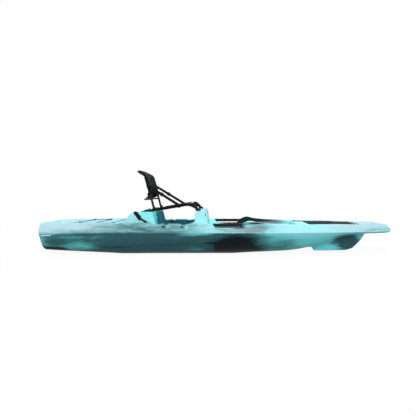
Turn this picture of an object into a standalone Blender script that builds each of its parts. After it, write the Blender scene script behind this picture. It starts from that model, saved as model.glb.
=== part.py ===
"""Sit-on-top fishing kayak with a raised, folding seat.

Metres, +Z up, bow towards +X, starboard side towards -Y. The origin is under
the middle of the hull, on the level of its flat bottom.
"""

import math

import bmesh
import bpy
import numpy as np
from mathutils import Matrix, Vector

# Hull, overall
HULL_LENGTH = 3.506
BEAM = 0.889
EDGE_BEAM = 0.800
FLAT_BOTTOM_WIDTH = 0.280
SIDE_POINT_IN = 0.42
SIDE_POINT_UP = 0.45
KEEL_FIN_WIDTH = 0.048
FIN_FLARE = 1.25
FIN_LIMIT = 0.3
TUNNEL_RISE = 0.022
TUNNEL_EDGE = 0.55
TUNNEL_AFT = (0.985, 1.150)
TUNNEL_FORE = (1.420, 1.530)
CLEARANCE = 0.0003

# Deck wells: floor level, first and last station at the rim, wall run
COCKPIT_SHELF_Z = 0.215
COCKPIT_AFT_X = -0.640
FOOTWELL_Z = 0.130
FOOTWELL_AFT_X = -0.560
FOOTWELL_FORE_X = 0.760
COCKPIT_FORE_X = 0.790
CHANNEL_FORE_X = -0.500
COCKPIT_WALL = 0.030
CHANNEL_Z = 0.200
CHANNEL_AFT_X = -0.900
TANKWELL_Z = 0.165
TANKWELL_AFT_X = -1.460
TANKWELL_FORE_X = -0.990
BOW_WELL_Z = 0.150
BOW_WELL_SHALLOW_Z = 0.210
BOW_WELL_AFT_X = 0.935
BOW_WELL_FORE_X = 1.363
WELL_WALL = 0.025

# Half-breadths at full beam of the deck's lengthwise lines
RIM_INNER_TRACK = 0.345
SHELF_TRACK = 0.325
CHANNEL_TOP_TRACK = 0.205
CHANNEL_TRACK = 0.185
FOOTWELL_TOP_TRACK = 0.262
FOOTWELL_TRACK = 0.240
TANKWELL_TRACK = 0.235
BOW_WELL_TOP_TRACK = 0.282
BOW_WELL_TRACK = 0.256
BLOCK_INNER_TRACK = 0.200
BLOCK_LIP_TRACK = 0.286
BLOCK_OUTER_TRACK = 0.362
PEDESTAL_INNER_TRACK = 0.238
PEDESTAL_OUTER_TRACK = 0.350
GUNWALE_TRACK = 0.386
LIP_TRACK = 0.368
LIP_FOOT_TRACK = 0.358
MIDDLE_TRACK = 0.100

# Foot steps on the sides of the footwell
STEP_FIRST_X = 0.320
STEP_PITCH = 0.085
STEP_COUNT = 4
STEP_HEIGHT = 0.050
STEP_EDGE = 0.001

# Seat blocks moulded into the deck behind the cockpit
BLOCK_LIP_Z = 0.411
BLOCK_CRADLE_Z = 0.393
BLOCK_AFT_X = -0.795
BLOCK_FORE_X = -0.610
BLOCK_AFT_RUN = 0.125
BLOCK_FORE_RUN = 0.146

# Pedestals that carry the front of the seat
PEDESTAL_Z = 0.418
PEDESTAL_AFT_X = -0.213
PEDESTAL_FORE_X = -0.128
PEDESTAL_FORE_RUN = 0.028
PEDESTAL_AFT_RUN = 0.004

# Gunwale dip under the grab rails
DIP_Z = 0.262
DIP_AFT_X = -0.013
DIP_FORE_X = 0.191
DIP_AFT_RUN = 0.037
DIP_FORE_RUN = 0.044
DIP_RIM_Z = 0.298

# Seat frame
TUBE_R = 0.011
TUBE_SIDES = 12
RAIL_Y = 0.262
BACK_Y = 0.2345
RAIL_FILLET = 0.030
BACK_FILLET = 0.045
PIVOT_X = -0.617
PIVOT_Z = 0.441
LEG_X = -0.190
FRONT_BAR_X = -0.275
FRONT_BAR_R = 0.0099
FOOT_SOLE = 0.010
LEG_LEAN = 0.008
LEG_RISE = 0.012
HINGE_BOLT_R = 0.004
BRACKET_T = 0.005
BRACKET_REACH = 0.022
BRACKET_EAR_R = 0.016
BRACKET_SINK = 0.008
EAR_STEPS = 10
BOLT_HEAD_R = 0.0075
BOLT_HEAD_T = 0.0048
BOLT_NUT_T = 0.0044
BOLT_EDGE = 0.0015
FOOT_HALF_WIDTH = 0.017
FOOT_SIDE_PROFILE = (
    (-0.022, 0.0), (0.026, 0.0), (0.024, 0.012), (0.010, 0.024), (-0.022, 0.024), (-0.026, 0.010),
)
CLIP_AFT_X = -0.716
CLIP_FORE_X = -0.644
CLIP_ROOF = 0.005
CLIP_SLOPE = 0.010
BOW_BAR_R = 0.008
BOW_BAR_DEPTH = 0.105
BOW_BAR_Z = 0.530
BOW_BAR_DROP = 0.006
BOW_BAR_POWER = 2.2
BOW_BAR_TUCK = 0.012
BOW_BAR_STEPS = 14
# Side view of a rail, from its foot over the peak to the rear bar
RAIL_PROFILE = (
    (LEG_X, PEDESTAL_Z + FOOT_SOLE), (LEG_X - LEG_LEAN, PEDESTAL_Z + FOOT_SOLE + LEG_RISE), (-0.246, 0.486),
    (-0.310, 0.4755), (-0.540, 0.4365), (-0.628, 0.4210), (-0.735, 0.4046),
)
# The seat back's upright, from its foot to the head bar: x, share of BACK_Y, z
BACK_PROFILE = (
    (PIVOT_X + 0.004, 1.0, PIVOT_Z - 0.013), (PIVOT_X - 0.010, 1.0, 0.462), (-0.645, 1.0, 0.532),
    (-0.678, 1.0, 0.660), (-0.709, 1.0, 0.761), (-0.770, 0.90, 0.7926), (-0.792, 0.62, 0.804),
    (-0.792, 0.0, 0.804),
)

# Seat fabric
CLOTH = 0.003
SLEEVE_GAP = 0.0012
SLING_AFT_X = -0.572
SLING_FORE_X = -0.288
SLING_SAG = 0.030
SLING_SAG_AFT = 0.55
SLING_SAG_FORE = 0.25
SLING_RISE_FROM = 0.75
SLING_FALL = 1.15
SLING_ROWS = 11
SLING_COLUMNS = 6
HANG_POWER = 1.5
PANEL_START_Z = 0.500
PANEL_LOW_Z = 0.575
PANEL_HIGH_Z = 0.738
PANEL_ROWS = 14
PANEL_COLUMNS = 10
PANEL_BOW_TOP = 0.012
PANEL_FLARE_POWER = 2.6
HEM_FORWARD = 0.0100
HEM_LIFT = 0.0115
HEM_SHARE = 0.62
HEAD_LEVELS = (0.745, 0.752, 0.759, 0.766, 0.773, 0.780, 0.787, 0.794, 0.799, 0.802)
WRAP_FROM = -60
WRAP_OPEN_FROM = 75
WRAP_OPEN_Z = 0.787
CALM_Z = 0.777
WRAP_STEPS = 6
PAD_FIRST_ROW = 1
PAD_ROWS = 6
PAD_COLUMNS = 7
PAD_EDGE = 0.004
PAD_T = 0.016
PAD_CHANNEL_COLUMN = 2
PAD_CHANNEL_SHARE = 0.75

# Straps from the seat back to the rails
STRAP_WIDTH = 0.025
STRAP_T = 0.003
STRAP_TOP_X = -0.672
STRAP_TOP_Z = 0.657
STRAP_FOOT_X = -0.375
STRAP_FOOT_Z = 0.4735
BUCKLE_SHARE = 0.44
BUCKLE_LENGTH = 0.036
BUCKLE_GAP = 0.001
BUCKLE_WIDER = 0.010
BUCKLE_THICKER = 0.004
STRAP_STANDOFF = 0.0005

# Deck fittings
RAIL_BAR_WIDTH = 0.036
RAIL_BAR_Y = 0.370
RAIL_BAR_LOW_Z = 0.273
RAIL_BAR_HIGH_Z = 0.301
RAIL_BAR_EDGE = 0.004
RAIL_BAR_END_GAP = 0.0012
RAIL_SLOT_LIP = 0.0035
RAIL_SLOT_FLOOR = 0.012
RAIL_SLOT_MOUTH = 0.004
RAIL_SLOT_POCKET = 0.009
EYE_CORD_R = 0.0030
EYE_GAP_R = 0.0050
EYE_WALL = 0.0035
EYE_FLANGE = 0.006
EYE_FLANGE_T = 0.003
EYE_BREADTH = 0.009
EYE_ARCH_STEPS = 6
AFT_EYE_STATIONS = (-1.335, -1.165, -1.010)
AFT_EYE_TRACK = 0.300
BOW_EYE_STATIONS = (0.820, 1.100, 1.372)
BOW_EYE_TRACK = 0.330
CORD_TAIL = 0.018
BUNGEE_FILLET = 0.030
COVER_TRACK = 0.299
COVER_MARGIN = 0.022
COVER_ROWS = 13
COVER_COLUMNS = 8
COVER_SAG = 0.006
COVER_SAG_RUN = 0.120
COVER_SAG_TRACK = 0.100
COVER_CORD_LEAD = 0.030
COVER_CORD_FILLET = 0.020
KEEPER_CORD_X = -0.714
KEEPER_END_X = -0.655
KEEPER_TRACK = 0.377
KEEPER_BREADTH = 0.014
KEEPER_SIDE_PROFILE = (
    (-0.775, 0.0006), (-0.744, 0.0006), (-0.722, 0.0006), (-0.716, 0.012), (-0.728, 0.019),
    (-0.744, 0.0225), (-0.754, 0.028), (-0.771, 0.0185),
)
KEEPER_CORD_REST = 1.3
KEEPER_CORD_POINTS = 9
KEEPER_CORD_R = 0.0024
GASKET_T = 0.0012
PLUG_R = 0.011
PLUG_HEAD_R = 0.017
PLUG_HEAD_T = 0.006
PLUG_SHANK = 0.020
PLUG_EDGE = 0.002
PLUG_RECESS = 0.008
PLUG_RECESS_R = 0.022
PLUG_BORE_ROOM = 0.008
PLUG_POCKET_REACH = 0.0122
PLUG_POCKET_DEPTH = 0.0035
PLUG_POCKET_WIDTH = 0.0042
PLUG_RIB = 0.007
PLUG_Z = 0.235
SCUPPER_R = 0.014
SCUPPER_STATIONS = ((-0.400, 0.150), (0.180, 0.150), (-1.220, 0.140))
HANDLE_WIDTH = 0.110
HANDLE_REACH = 0.038
HANDLE_DEPTH = 0.045
HANDLE_TURN_STEPS = 12
STERN_HANDLE_X = -1.625
BOW_HANDLE_X = 1.595
SIDE_SLOT_AFT_X = -1.700
SIDE_SLOT_FORE_X = -1.590
SIDE_SLOT_LOW_Z = 0.174
SIDE_SLOT_HIGH_Z = 0.196
SIDE_SLOT_DEPTH = 0.014
SIDE_SLOT_STATIONS = 4

STERN_X = -HULL_LENGTH / 2
BOW_X = HULL_LENGTH / 2
HALF_BEAM = BEAM / 2
HALF_EDGE = EDGE_BEAM / 2

# Half-breadth of the hull at its knuckle, along its length
PLAN = (
    (STERN_X, 0.300), (-1.500, 0.345), (-1.150, 0.398), (-0.760, HALF_BEAM), (0.260, HALF_BEAM),
    (0.620, 0.420), (1.000, 0.358), (1.400, 0.262), (1.600, 0.192), (BOW_X, 0.128),
)
# Top of the gunwale, with the fin beside the seat, the pedestals' flare and the rail dip
RIM = (
    (STERN_X, 0.302), (-1.500, 0.305), (-1.250, 0.303), (-1.190, 0.308), (-1.050, 0.309), (-0.950, 0.303),
    (-0.903, 0.314), (-0.856, 0.352), (-0.800, 0.408), (-0.781, 0.413), (-0.744, 0.372),
    (-0.674, 0.321), (-0.613, 0.302), (-0.560, 0.291), (-0.530, 0.299), (-0.515, 0.299),
    (-0.492, 0.288), (-0.465, 0.299), (-0.360, 0.299), (-0.332, 0.288), (-0.305, 0.292),
    (-0.250, 0.304), (PEDESTAL_AFT_X, 0.318), (PEDESTAL_FORE_X, 0.316), (-0.085, 0.299),
    (DIP_AFT_X - DIP_AFT_RUN, DIP_RIM_Z), (DIP_AFT_X, DIP_Z), (DIP_FORE_X, DIP_Z),
    (DIP_FORE_X + DIP_FORE_RUN, DIP_RIM_Z), (0.275, 0.320), (0.304, 0.327), (0.390, 0.310),
    (0.540, 0.297), (0.650, 0.294), (0.700, 0.291), (1.140, 0.290), (1.250, 0.287), (1.380, 0.2845),
    (1.610, 0.2835), (BOW_X, 0.272),
)
# Lowest line of the two side hulls
SIDE_BOTTOM = (
    (STERN_X, 0.034), (-1.600, 0.029), (-1.300, 0.017), (-1.000, 0.004), (-0.900, 0.0), (0.120, 0.0),
    (0.315, 0.010), (0.658, 0.024), (0.805, 0.040), (0.894, 0.059), (1.060, 0.100), (1.217, 0.150),
    (1.380, 0.175), (1.500, 0.184), (BOW_X, 0.187),
)
# Lowest line of the middle of the hull, with the fin under the bow
KEEL = (
    (STERN_X, 0.034), (-1.600, 0.029), (-1.300, 0.017), (-1.000, 0.004), (-0.900, 0.0), (0.120, 0.0),
    (0.660, 0.013), (0.900, 0.035), (0.951, 0.038), (0.985, 0.0), (1.283, 0.004), (1.358, 0.021),
    (1.421, 0.074), (1.470, 0.130), (1.501, 0.176), (1.530, 0.184), (BOW_X, 0.187),
)
# Height of the knuckle, where the side turns from bottom to topsides
KNUCKLE = ((STERN_X, 0.208), (0.0, 0.218), (BOW_X, 0.210))
# Fullness of the bilge from the flat bottom out to the knuckle
BILGE_POWER = ((STERN_X, 6.0), (-1.200, 4.4), (-0.500, 3.3), (0.700, 2.9), (BOW_X, 2.6))
# Floor of the bow well, which climbs with the hull's bottom
BOW_WELL_FLOOR = ((BOW_WELL_AFT_X, BOW_WELL_Z), (1.060, BOW_WELL_Z), (BOW_WELL_FORE_X, BOW_WELL_SHALLOW_Z))
# How far the raked ends stand back from the full length, by height
STERN_RAKE = ((0.034, 0.042), (0.067, 0.027), (0.102, 0.020), (0.163, 0.009), (0.210, 0.0),
              (0.272, 0.005), (0.302, 0.018))
BOW_RAKE = ((0.184, 0.028), (0.195, 0.006), (0.213, 0.0), (0.240, 0.012), (0.272, 0.044))
STERN_CORNER = 0.045
BOW_CORNER = 0.085
RAKE_REACH = 0.240

# Height tracks of the deck, as half-breadths at full beam from the edge to the middle
TRACKS = (HALF_EDGE, GUNWALE_TRACK, LIP_TRACK, LIP_FOOT_TRACK, RIM_INNER_TRACK,
          SHELF_TRACK, BOW_WELL_TOP_TRACK, FOOTWELL_TOP_TRACK, FOOTWELL_TRACK,
          TANKWELL_TRACK, CHANNEL_TOP_TRACK, CHANNEL_TRACK, MIDDLE_TRACK, 0.0)
DECK_DROP = 0.006
BOW_DROP = 0.014
BOW_DROP_AFT = (0.770, 0.805)
BOW_DROP_FORE = (1.420, 1.500)
CALM_RIM_Z = 0.302
EDGE_DROP = 0.006
STERN_CROWN = 0.002
BOW_CROWN = 0.008
BILGE_STEPS = (0.25, 0.5, 0.7, 0.85, 0.95, 1.0)
CORNER_STEPS = (0.08, 0.3, 0.65, 1.0)
EVEN_STATIONS = (-1.350, -0.700, 0.080, 0.455, 1.550)


def clear_scene():
    for item in list(bpy.data.objects):
        bpy.data.objects.remove(item, do_unlink=True)


def finish(name, colour, roughness, metallic=0.0):
    material = bpy.data.materials.new(name)
    material.use_nodes = True
    shader = material.node_tree.nodes["Principled BSDF"]
    shader.inputs["Base Color"].default_value = (*colour, 1.0)
    shader.inputs["Roughness"].default_value = roughness
    shader.inputs["Metallic"].default_value = metallic
    return material


def add_object(name, mesh, material, origin=(0.0, 0.0, 0.0)):
    mesh.transform(Matrix.Translation(-Vector(origin)))
    mesh.materials.append(material)
    item = bpy.data.objects.new(name, mesh)
    item.location = origin
    bpy.context.scene.collection.objects.link(item)
    return item


def mesh_of(form, name):
    bmesh.ops.recalc_face_normals(form, faces=form.faces[:])
    mesh = bpy.data.meshes.new(name)
    form.to_mesh(mesh)
    form.free()
    return mesh


def add_cutter(name, mesh):
    item = bpy.data.objects.new(name, mesh)
    bpy.context.scene.collection.objects.link(item)
    item.hide_render = True
    item.display_type = "WIRE"
    return item


def use_boolean(item, other, operation):
    modifier = item.modifiers.new(other.name, "BOOLEAN")
    modifier.object = other
    modifier.operation = operation
    modifier.solver = "EXACT"


def track(knots, x):
    stations, heights = zip(*knots)
    return np.interp(x, stations, heights)


def fair_curve(knots, x):
    """A smooth line through the knots that never swings past them (monotone cubic)."""
    stations, values = (np.array(part, float) for part in zip(*knots))
    step = np.diff(stations)
    slope = np.diff(values) / step
    lean = np.zeros_like(values)
    same = slope[:-1] * slope[1:] > 0
    weight = 2 * slope[:-1] * slope[1:] / np.where(same, slope[:-1] + slope[1:], 1.0)
    lean[1:-1] = np.where(same, weight, 0.0)
    lean[0], lean[-1] = slope[0], slope[-1]
    k = np.clip(np.searchsorted(stations, x, side="right") - 1, 0, len(step) - 1)
    t = np.clip((x - stations[k]) / step[k], 0.0, 1.0)
    rise = values[k] * (1 + 2 * t) * (1 - t) ** 2 + values[k + 1] * t**2 * (3 - 2 * t)
    return rise + step[k] * (lean[k] * t * (1 - t) ** 2 - lean[k + 1] * t**2 * (1 - t))


def ramp(value, start, end):
    return np.clip((value - start) / (end - start), 0.0, 1.0)


# The hull

def half_breadth(x):
    """Half-breadth at the knuckle: the plan outline with rounded corners at both ends."""
    aft = np.clip(1.0 - (x - STERN_X) / STERN_CORNER, 0.0, 1.0)
    fore = np.clip(1.0 - (BOW_X - x) / BOW_CORNER, 0.0, 1.0)
    return fair_curve(PLAN, x) * np.sqrt(1.0 - aft**2) * np.sqrt(1.0 - fore**2)


def breadth_scale(x):
    return half_breadth(x) / HALF_BEAM


def well(x, n, aft, fore, wall, top, foot):
    """1 on the floor of a well, 0 at its rim, with straight sloped walls between."""
    along = np.minimum(ramp(x, aft, aft + wall), ramp(-x, -fore, wall - fore))
    return np.minimum(along, ramp(-n, -top, -foot))


def seat_block_height(x, top):
    rise = ramp(x, BLOCK_AFT_X - BLOCK_AFT_RUN, BLOCK_AFT_X)
    fall = ramp(-x, -BLOCK_FORE_X - BLOCK_FORE_RUN, -BLOCK_FORE_X)
    heel = track(RIM, BLOCK_AFT_X - BLOCK_AFT_RUN)
    aft = heel + (top - heel) * rise
    fore = COCKPIT_SHELF_Z + (top - COCKPIT_SHELF_Z) * fall
    return np.where(x < BLOCK_AFT_X, aft, fore)


def deck_height(x, n):
    """Deck level at station x and at n, the half-breadth that the track has at full beam."""
    rim = track(RIM, x)
    calm = np.minimum(rim, CALM_RIM_Z)
    inboard = calm - DECK_DROP * ramp(-n, -RIM_INNER_TRACK, -SHELF_TRACK)
    z = np.where(n >= RIM_INNER_TRACK, rim, inboard)
    bow_share = np.minimum(ramp(x, *BOW_DROP_AFT), 1.0 - ramp(x, *BOW_DROP_FORE))
    bow_deck = rim - BOW_DROP * ramp(-n, -LIP_TRACK, -LIP_FOOT_TRACK)
    z = z + (bow_deck - z) * bow_share
    z = z - EDGE_DROP * ramp(n, GUNWALE_TRACK, HALF_EDGE)

    def sink(z, share, floor):
        return z + (floor - z) * share

    cockpit = well(x, n, COCKPIT_AFT_X, COCKPIT_FORE_X, COCKPIT_WALL, RIM_INNER_TRACK, SHELF_TRACK)
    z = sink(z, cockpit, COCKPIT_SHELF_Z)
    channel = well(x, n, CHANNEL_AFT_X, CHANNEL_FORE_X, WELL_WALL, CHANNEL_TOP_TRACK, CHANNEL_TRACK)
    z = sink(z, channel, CHANNEL_Z)
    footwell = well(x, n, FOOTWELL_AFT_X, FOOTWELL_FORE_X, WELL_WALL, FOOTWELL_TOP_TRACK, FOOTWELL_TRACK)
    z = sink(z, footwell, FOOTWELL_Z)
    tankwell = well(x, n, TANKWELL_AFT_X, TANKWELL_FORE_X, WELL_WALL, FOOTWELL_TOP_TRACK, TANKWELL_TRACK)
    z = sink(z, tankwell, TANKWELL_Z)
    bow_well = well(x, n, BOW_WELL_AFT_X, BOW_WELL_FORE_X, WELL_WALL, BOW_WELL_TOP_TRACK, BOW_WELL_TRACK)
    z = sink(z, bow_well, track(BOW_WELL_FLOOR, x))

    phase = (x - STEP_FIRST_X) / STEP_PITCH
    tooth = np.where((phase > 0) & (phase < STEP_COUNT), 1.0 - phase % 1.0, 0.0)
    on_step = (n > BLOCK_INNER_TRACK) & (n < PEDESTAL_INNER_TRACK)
    z = np.where(on_step, np.maximum(z, FOOTWELL_Z + STEP_HEIGHT * tooth), z)

    block_top = np.where(n > BLOCK_LIP_TRACK, BLOCK_LIP_Z, BLOCK_CRADLE_Z)
    block = seat_block_height(x, block_top)
    in_block = (x > BLOCK_AFT_X - BLOCK_AFT_RUN) & (x < BLOCK_FORE_X + BLOCK_FORE_RUN)
    on_block = (n > BLOCK_INNER_TRACK) & (n < BLOCK_OUTER_TRACK) & in_block
    z = np.where(on_block, np.maximum(z, block), z)

    pillar = (n > PEDESTAL_INNER_TRACK) & (n < PEDESTAL_OUTER_TRACK)
    front = ramp(-x, -PEDESTAL_FORE_X - PEDESTAL_FORE_RUN, -PEDESTAL_FORE_X)
    back = ramp(x, PEDESTAL_AFT_X - PEDESTAL_AFT_RUN, PEDESTAL_AFT_X)
    height = z + (PEDESTAL_Z - z) * np.minimum(front, back)
    z = np.where(pillar, np.maximum(z, height), z)
    closing = np.maximum(ramp(-x, -STERN_X - STERN_CORNER, -STERN_X), ramp(x, BOW_X - BOW_CORNER, BOW_X))
    crown = rim - EDGE_DROP + np.where(x < 0.0, STERN_CROWN, BOW_CROWN) * (1.0 - n / HALF_EDGE)
    return z + (crown - z) * closing


def hull_stations():
    marks = {x for profile in (PLAN, RIM, SIDE_BOTTOM, KEEL) for x, _ in profile}
    for aft, fore in ((TANKWELL_AFT_X, TANKWELL_FORE_X), (BOW_WELL_AFT_X, BOW_WELL_FORE_X),
                      (FOOTWELL_AFT_X, FOOTWELL_FORE_X)):
        marks |= {aft, aft + WELL_WALL, fore - WELL_WALL, fore}
    marks |= {CHANNEL_AFT_X, CHANNEL_AFT_X + WELL_WALL, COCKPIT_FORE_X}
    marks |= {BLOCK_AFT_X - BLOCK_AFT_RUN, BLOCK_AFT_X, BLOCK_FORE_X, BLOCK_FORE_X + BLOCK_FORE_RUN}
    marks |= {PEDESTAL_AFT_X - PEDESTAL_AFT_RUN, PEDESTAL_FORE_X + PEDESTAL_FORE_RUN}
    marks |= {*BOW_DROP_AFT, *BOW_DROP_FORE}
    for k in range(STEP_COUNT):
        face = STEP_FIRST_X + k * STEP_PITCH
        marks |= {face - STEP_EDGE, face + STEP_EDGE}
    marks.add(STEP_FIRST_X + STEP_COUNT * STEP_PITCH)
    for share in CORNER_STEPS:
        marks |= {STERN_X + STERN_CORNER * share, BOW_X - BOW_CORNER * share}
    marks |= {STERN_X + RAKE_REACH, *EVEN_STATIONS}
    kept = []
    for x in sorted(marks):
        if not kept or x - kept[-1] > 1.5 * STEP_EDGE:
            kept.append(x)
    kept[-1] = BOW_X
    return np.array(kept)


def hull_ring(x):
    """Starboard half of the section at x, from the keel up the side and over the deck."""
    half = float(half_breadth(x))
    scale = half / HALF_BEAM
    side = float(track(SIDE_BOTTOM, x))
    keel = float(track(KEEL, x))
    knuckle = float(track(KNUCKLE, x))
    flat = FLAT_BOTTOM_WIDTH / 2 * scale
    roof = side + TUNNEL_RISE * float(ramp(x, *TUNNEL_AFT) * (1.0 - ramp(x, *TUNNEL_FORE)))
    fin = min(KEEL_FIN_WIDTH / 2, flat * FIN_LIMIT)
    power = float(track(BILGE_POWER, x))
    points = [(0.0, keel), (fin, keel), (fin * FIN_FLARE, roof), (flat * TUNNEL_EDGE, roof), (flat, side)]
    for share in BILGE_STEPS:
        points.append((flat + (half - flat) * share, side + (knuckle - side) * share**power))
    edge = HALF_EDGE * scale
    rim = float(deck_height(x, np.array(HALF_EDGE)))
    points.append((edge + (half - edge) * SIDE_POINT_IN, knuckle + (rim - knuckle) * SIDE_POINT_UP))
    points += [(n * scale, float(deck_height(x, np.array(n)))) for n in TRACKS]
    return points


def raked(x, z):
    aft = ramp(-x, -STERN_X - RAKE_REACH, -STERN_X)
    fore = ramp(x, BOW_X - RAKE_REACH, BOW_X)
    return x + aft * track(STERN_RAKE, z) - fore * track(BOW_RAKE, z)


def build_hull(material):
    rings = []
    for x in hull_stations():
        half = hull_ring(x)
        rings.append([(x, -y, z) for y, z in half] + [(x, y, z) for y, z in half[-2:0:-1]])
    form = bmesh.new()
    rows = [[form.verts.new((raked(x, z), y, z)) for x, y, z in ring] for ring in rings]
    count = len(rows[0])
    for low, high in zip(rows, rows[1:]):
        for k in range(count):
            after = (k + 1) % count
            form.faces.new((low[k], low[after], high[after], high[k]))
    bmesh.ops.remove_doubles(form, verts=form.verts[:], dist=2e-5)
    bmesh.ops.triangulate(form, faces=form.faces[:])
    hull = add_object("hull", mesh_of(form, "hull"), material)
    for number, (x, y) in enumerate(SCUPPER_STATIONS):
        for side in (-1, 1):
            hole = round_cutter(f"scupper_{number}_{side}", SCUPPER_R, (x, side * y, BEAM / 4), BEAM / 2, "Z")
            use_boolean(hull, hole, "DIFFERENCE")
    for name, x in (("stern_grip", STERN_HANDLE_X), ("bow_grip", BOW_HANDLE_X)):
        top = float(deck_height(x, np.array(0.0)))
        use_boolean(hull, slot_cutter(name, x, top), "DIFFERENCE")
    for side in (-1, 1):
        use_boolean(hull, side_slot_cutter(side), "DIFFERENCE")
    plug_place = (STERN_X, 0.0, PLUG_Z)
    recess = round_cutter("plug_recess", PLUG_RECESS_R, plug_place, 2 * PLUG_RECESS, "X")
    use_boolean(hull, recess, "DIFFERENCE")
    reach = PLUG_RECESS + PLUG_SHANK + PLUG_BORE_ROOM
    bore = round_cutter("plug_bore", PLUG_R + CLEARANCE, plug_place, 2 * reach, "X")
    use_boolean(hull, bore, "DIFFERENCE")
    return hull


def round_cutter(name, radius, centre, length, axis, sides=16):
    form = bmesh.new()
    bmesh.ops.create_cone(form, cap_ends=True, segments=sides, radius1=radius, radius2=radius, depth=length)
    turn = Matrix.Rotation(math.pi / 2, 4, "Y") if axis == "X" else Matrix.Identity(4)
    if axis == "Y":
        turn = Matrix.Rotation(math.pi / 2, 4, "X")
    bmesh.ops.transform(form, matrix=Matrix.Translation(centre) @ turn, verts=form.verts[:])
    return add_cutter(name, mesh_of(form, name))


def slot_cutter(name, x, top):
    """A finger pocket across the deck with round ends."""
    radius = HANDLE_REACH / 2
    outline = []
    for k in range(HANDLE_TURN_STEPS + 1):
        angle = math.pi * k / HANDLE_TURN_STEPS
        outline.append((x + radius * math.cos(angle), HANDLE_WIDTH / 2 - radius + radius * math.sin(angle)))
    outline += [(2 * x - px, -py) for px, py in outline]
    mesh = extrude_outline(outline, "z", top - HANDLE_DEPTH, top + HANDLE_DEPTH, name)
    return add_cutter(name, mesh)


def side_slot_cutter(side):
    """A shallow slot along the stern's side, below the knuckle."""
    stations = np.linspace(SIDE_SLOT_AFT_X, SIDE_SLOT_FORE_X, SIDE_SLOT_STATIONS)
    inner = [(x, side * float(half_breadth(x) - SIDE_SLOT_DEPTH)) for x in stations]
    outer = [(x, side * float(half_breadth(x) + SIDE_SLOT_DEPTH)) for x in stations[::-1]]
    name = f"side_slot_{side}"
    return add_cutter(name, extrude_outline(inner + outer, "z", SIDE_SLOT_LOW_Z, SIDE_SLOT_HIGH_Z, name))


# Shapes shared by the smaller pieces

def extrude_outline(outline, axis, low, high, name):
    """A flat outline pushed from low to high along an axis."""
    form = bmesh.new()
    ends = []
    for level in (low, high):
        if axis == "y":
            ends.append([form.verts.new((a, level, b)) for a, b in outline])
        elif axis == "z":
            ends.append([form.verts.new((a, b, level)) for a, b in outline])
        else:
            ends.append([form.verts.new((level, a, b)) for a, b in outline])
    form.faces.new(ends[0])
    form.faces.new(list(reversed(ends[1])))
    count = len(outline)
    for k in range(count):
        after = (k + 1) % count
        form.faces.new((ends[0][after], ends[0][k], ends[1][k], ends[1][after]))
    return mesh_of(form, name)


def filleted(points, radius, steps=4):
    """The polyline with each inner corner rounded by an arc of the given radius."""
    points = [Vector(p) for p in points]
    path = [points[0]]
    for before, corner, after in zip(points, points[1:], points[2:]):
        back = (before - corner).normalized()
        ahead = (after - corner).normalized()
        turn = math.pi - back.angle(ahead)
        if turn < math.radians(3):
            path.append(corner)
            continue
        reach = min(radius * math.tan(turn / 2), 0.45 * (before - corner).length,
                    0.45 * (after - corner).length)
        start, end = corner + back * reach, corner + ahead * reach
        for k in range(steps + 1):
            t = k / steps
            path.append(start * (1 - t) ** 2 + corner * 2 * t * (1 - t) + end * t**2)
    path.append(points[-1])
    return path


def sweep(path, radius, sides, name):
    """A round tube carried along a path, closed at both ends."""
    form = bmesh.new()
    path = [Vector(p) for p in path]
    normal = None
    rows = []
    for k, point in enumerate(path):
        ahead = (path[min(k + 1, len(path) - 1)] - path[max(k - 1, 0)]).normalized()
        if normal is None:
            helper = Vector((0, 0, 1)) if abs(ahead.z) < 0.9 else Vector((1, 0, 0))
            normal = ahead.cross(helper).normalized()
        normal = (normal - ahead * normal.dot(ahead)).normalized()
        other = ahead.cross(normal)
        row = []
        for j in range(sides):
            angle = 2 * math.pi * j / sides
            offset = radius * math.cos(angle) * normal + radius * math.sin(angle) * other
            row.append(form.verts.new(point + offset))
        rows.append(row)
    form.faces.new(rows[0])
    form.faces.new(list(reversed(rows[-1])))
    for low, high in zip(rows, rows[1:]):
        for j in range(sides):
            after = (j + 1) % sides
            form.faces.new((low[j], low[after], high[after], high[j]))
    return mesh_of(form, name)


def cord(name, points, radius, material):
    """An elastic cord as a bevelled curve with closed ends."""
    curve = bpy.data.curves.new(name, "CURVE")
    curve.dimensions = "3D"
    spline = curve.splines.new("POLY")
    spline.points.add(len(points) - 1)
    for target, point in zip(spline.points, points):
        target.co = (*point, 1.0)
    curve.bevel_depth = radius
    curve.bevel_resolution = 2
    curve.use_fill_caps = True
    curve.materials.append(material)
    item = bpy.data.objects.new(name, curve)
    bpy.context.scene.collection.objects.link(item)
    return item


def turned(outline, centre, axis, name, sides=24, ring=False):
    """A solid turned about an axis from (along, radius) points; a ring's outline closes on itself."""
    form = bmesh.new()
    basis = {"X": (Vector((1, 0, 0)), Vector((0, 1, 0)), Vector((0, 0, 1))),
             "Y": (Vector((0, 1, 0)), Vector((0, 0, 1)), Vector((1, 0, 0)))}[axis]
    along, first, second = basis
    rows = []
    for distance, radius in outline:
        row = []
        for j in range(sides):
            angle = 2 * math.pi * j / sides
            offset = first * (radius * math.cos(angle)) + second * (radius * math.sin(angle))
            row.append(form.verts.new(Vector(centre) + along * distance + offset))
        rows.append(row)
    if ring:
        rows.append(rows[0])
    else:
        form.faces.new(rows[0])
        form.faces.new(list(reversed(rows[-1])))
    for low, high in zip(rows, rows[1:]):
        for j in range(sides):
            after = (j + 1) % sides
            form.faces.new((low[j], low[after], high[after], high[j]))
    return mesh_of(form, name)


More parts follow.
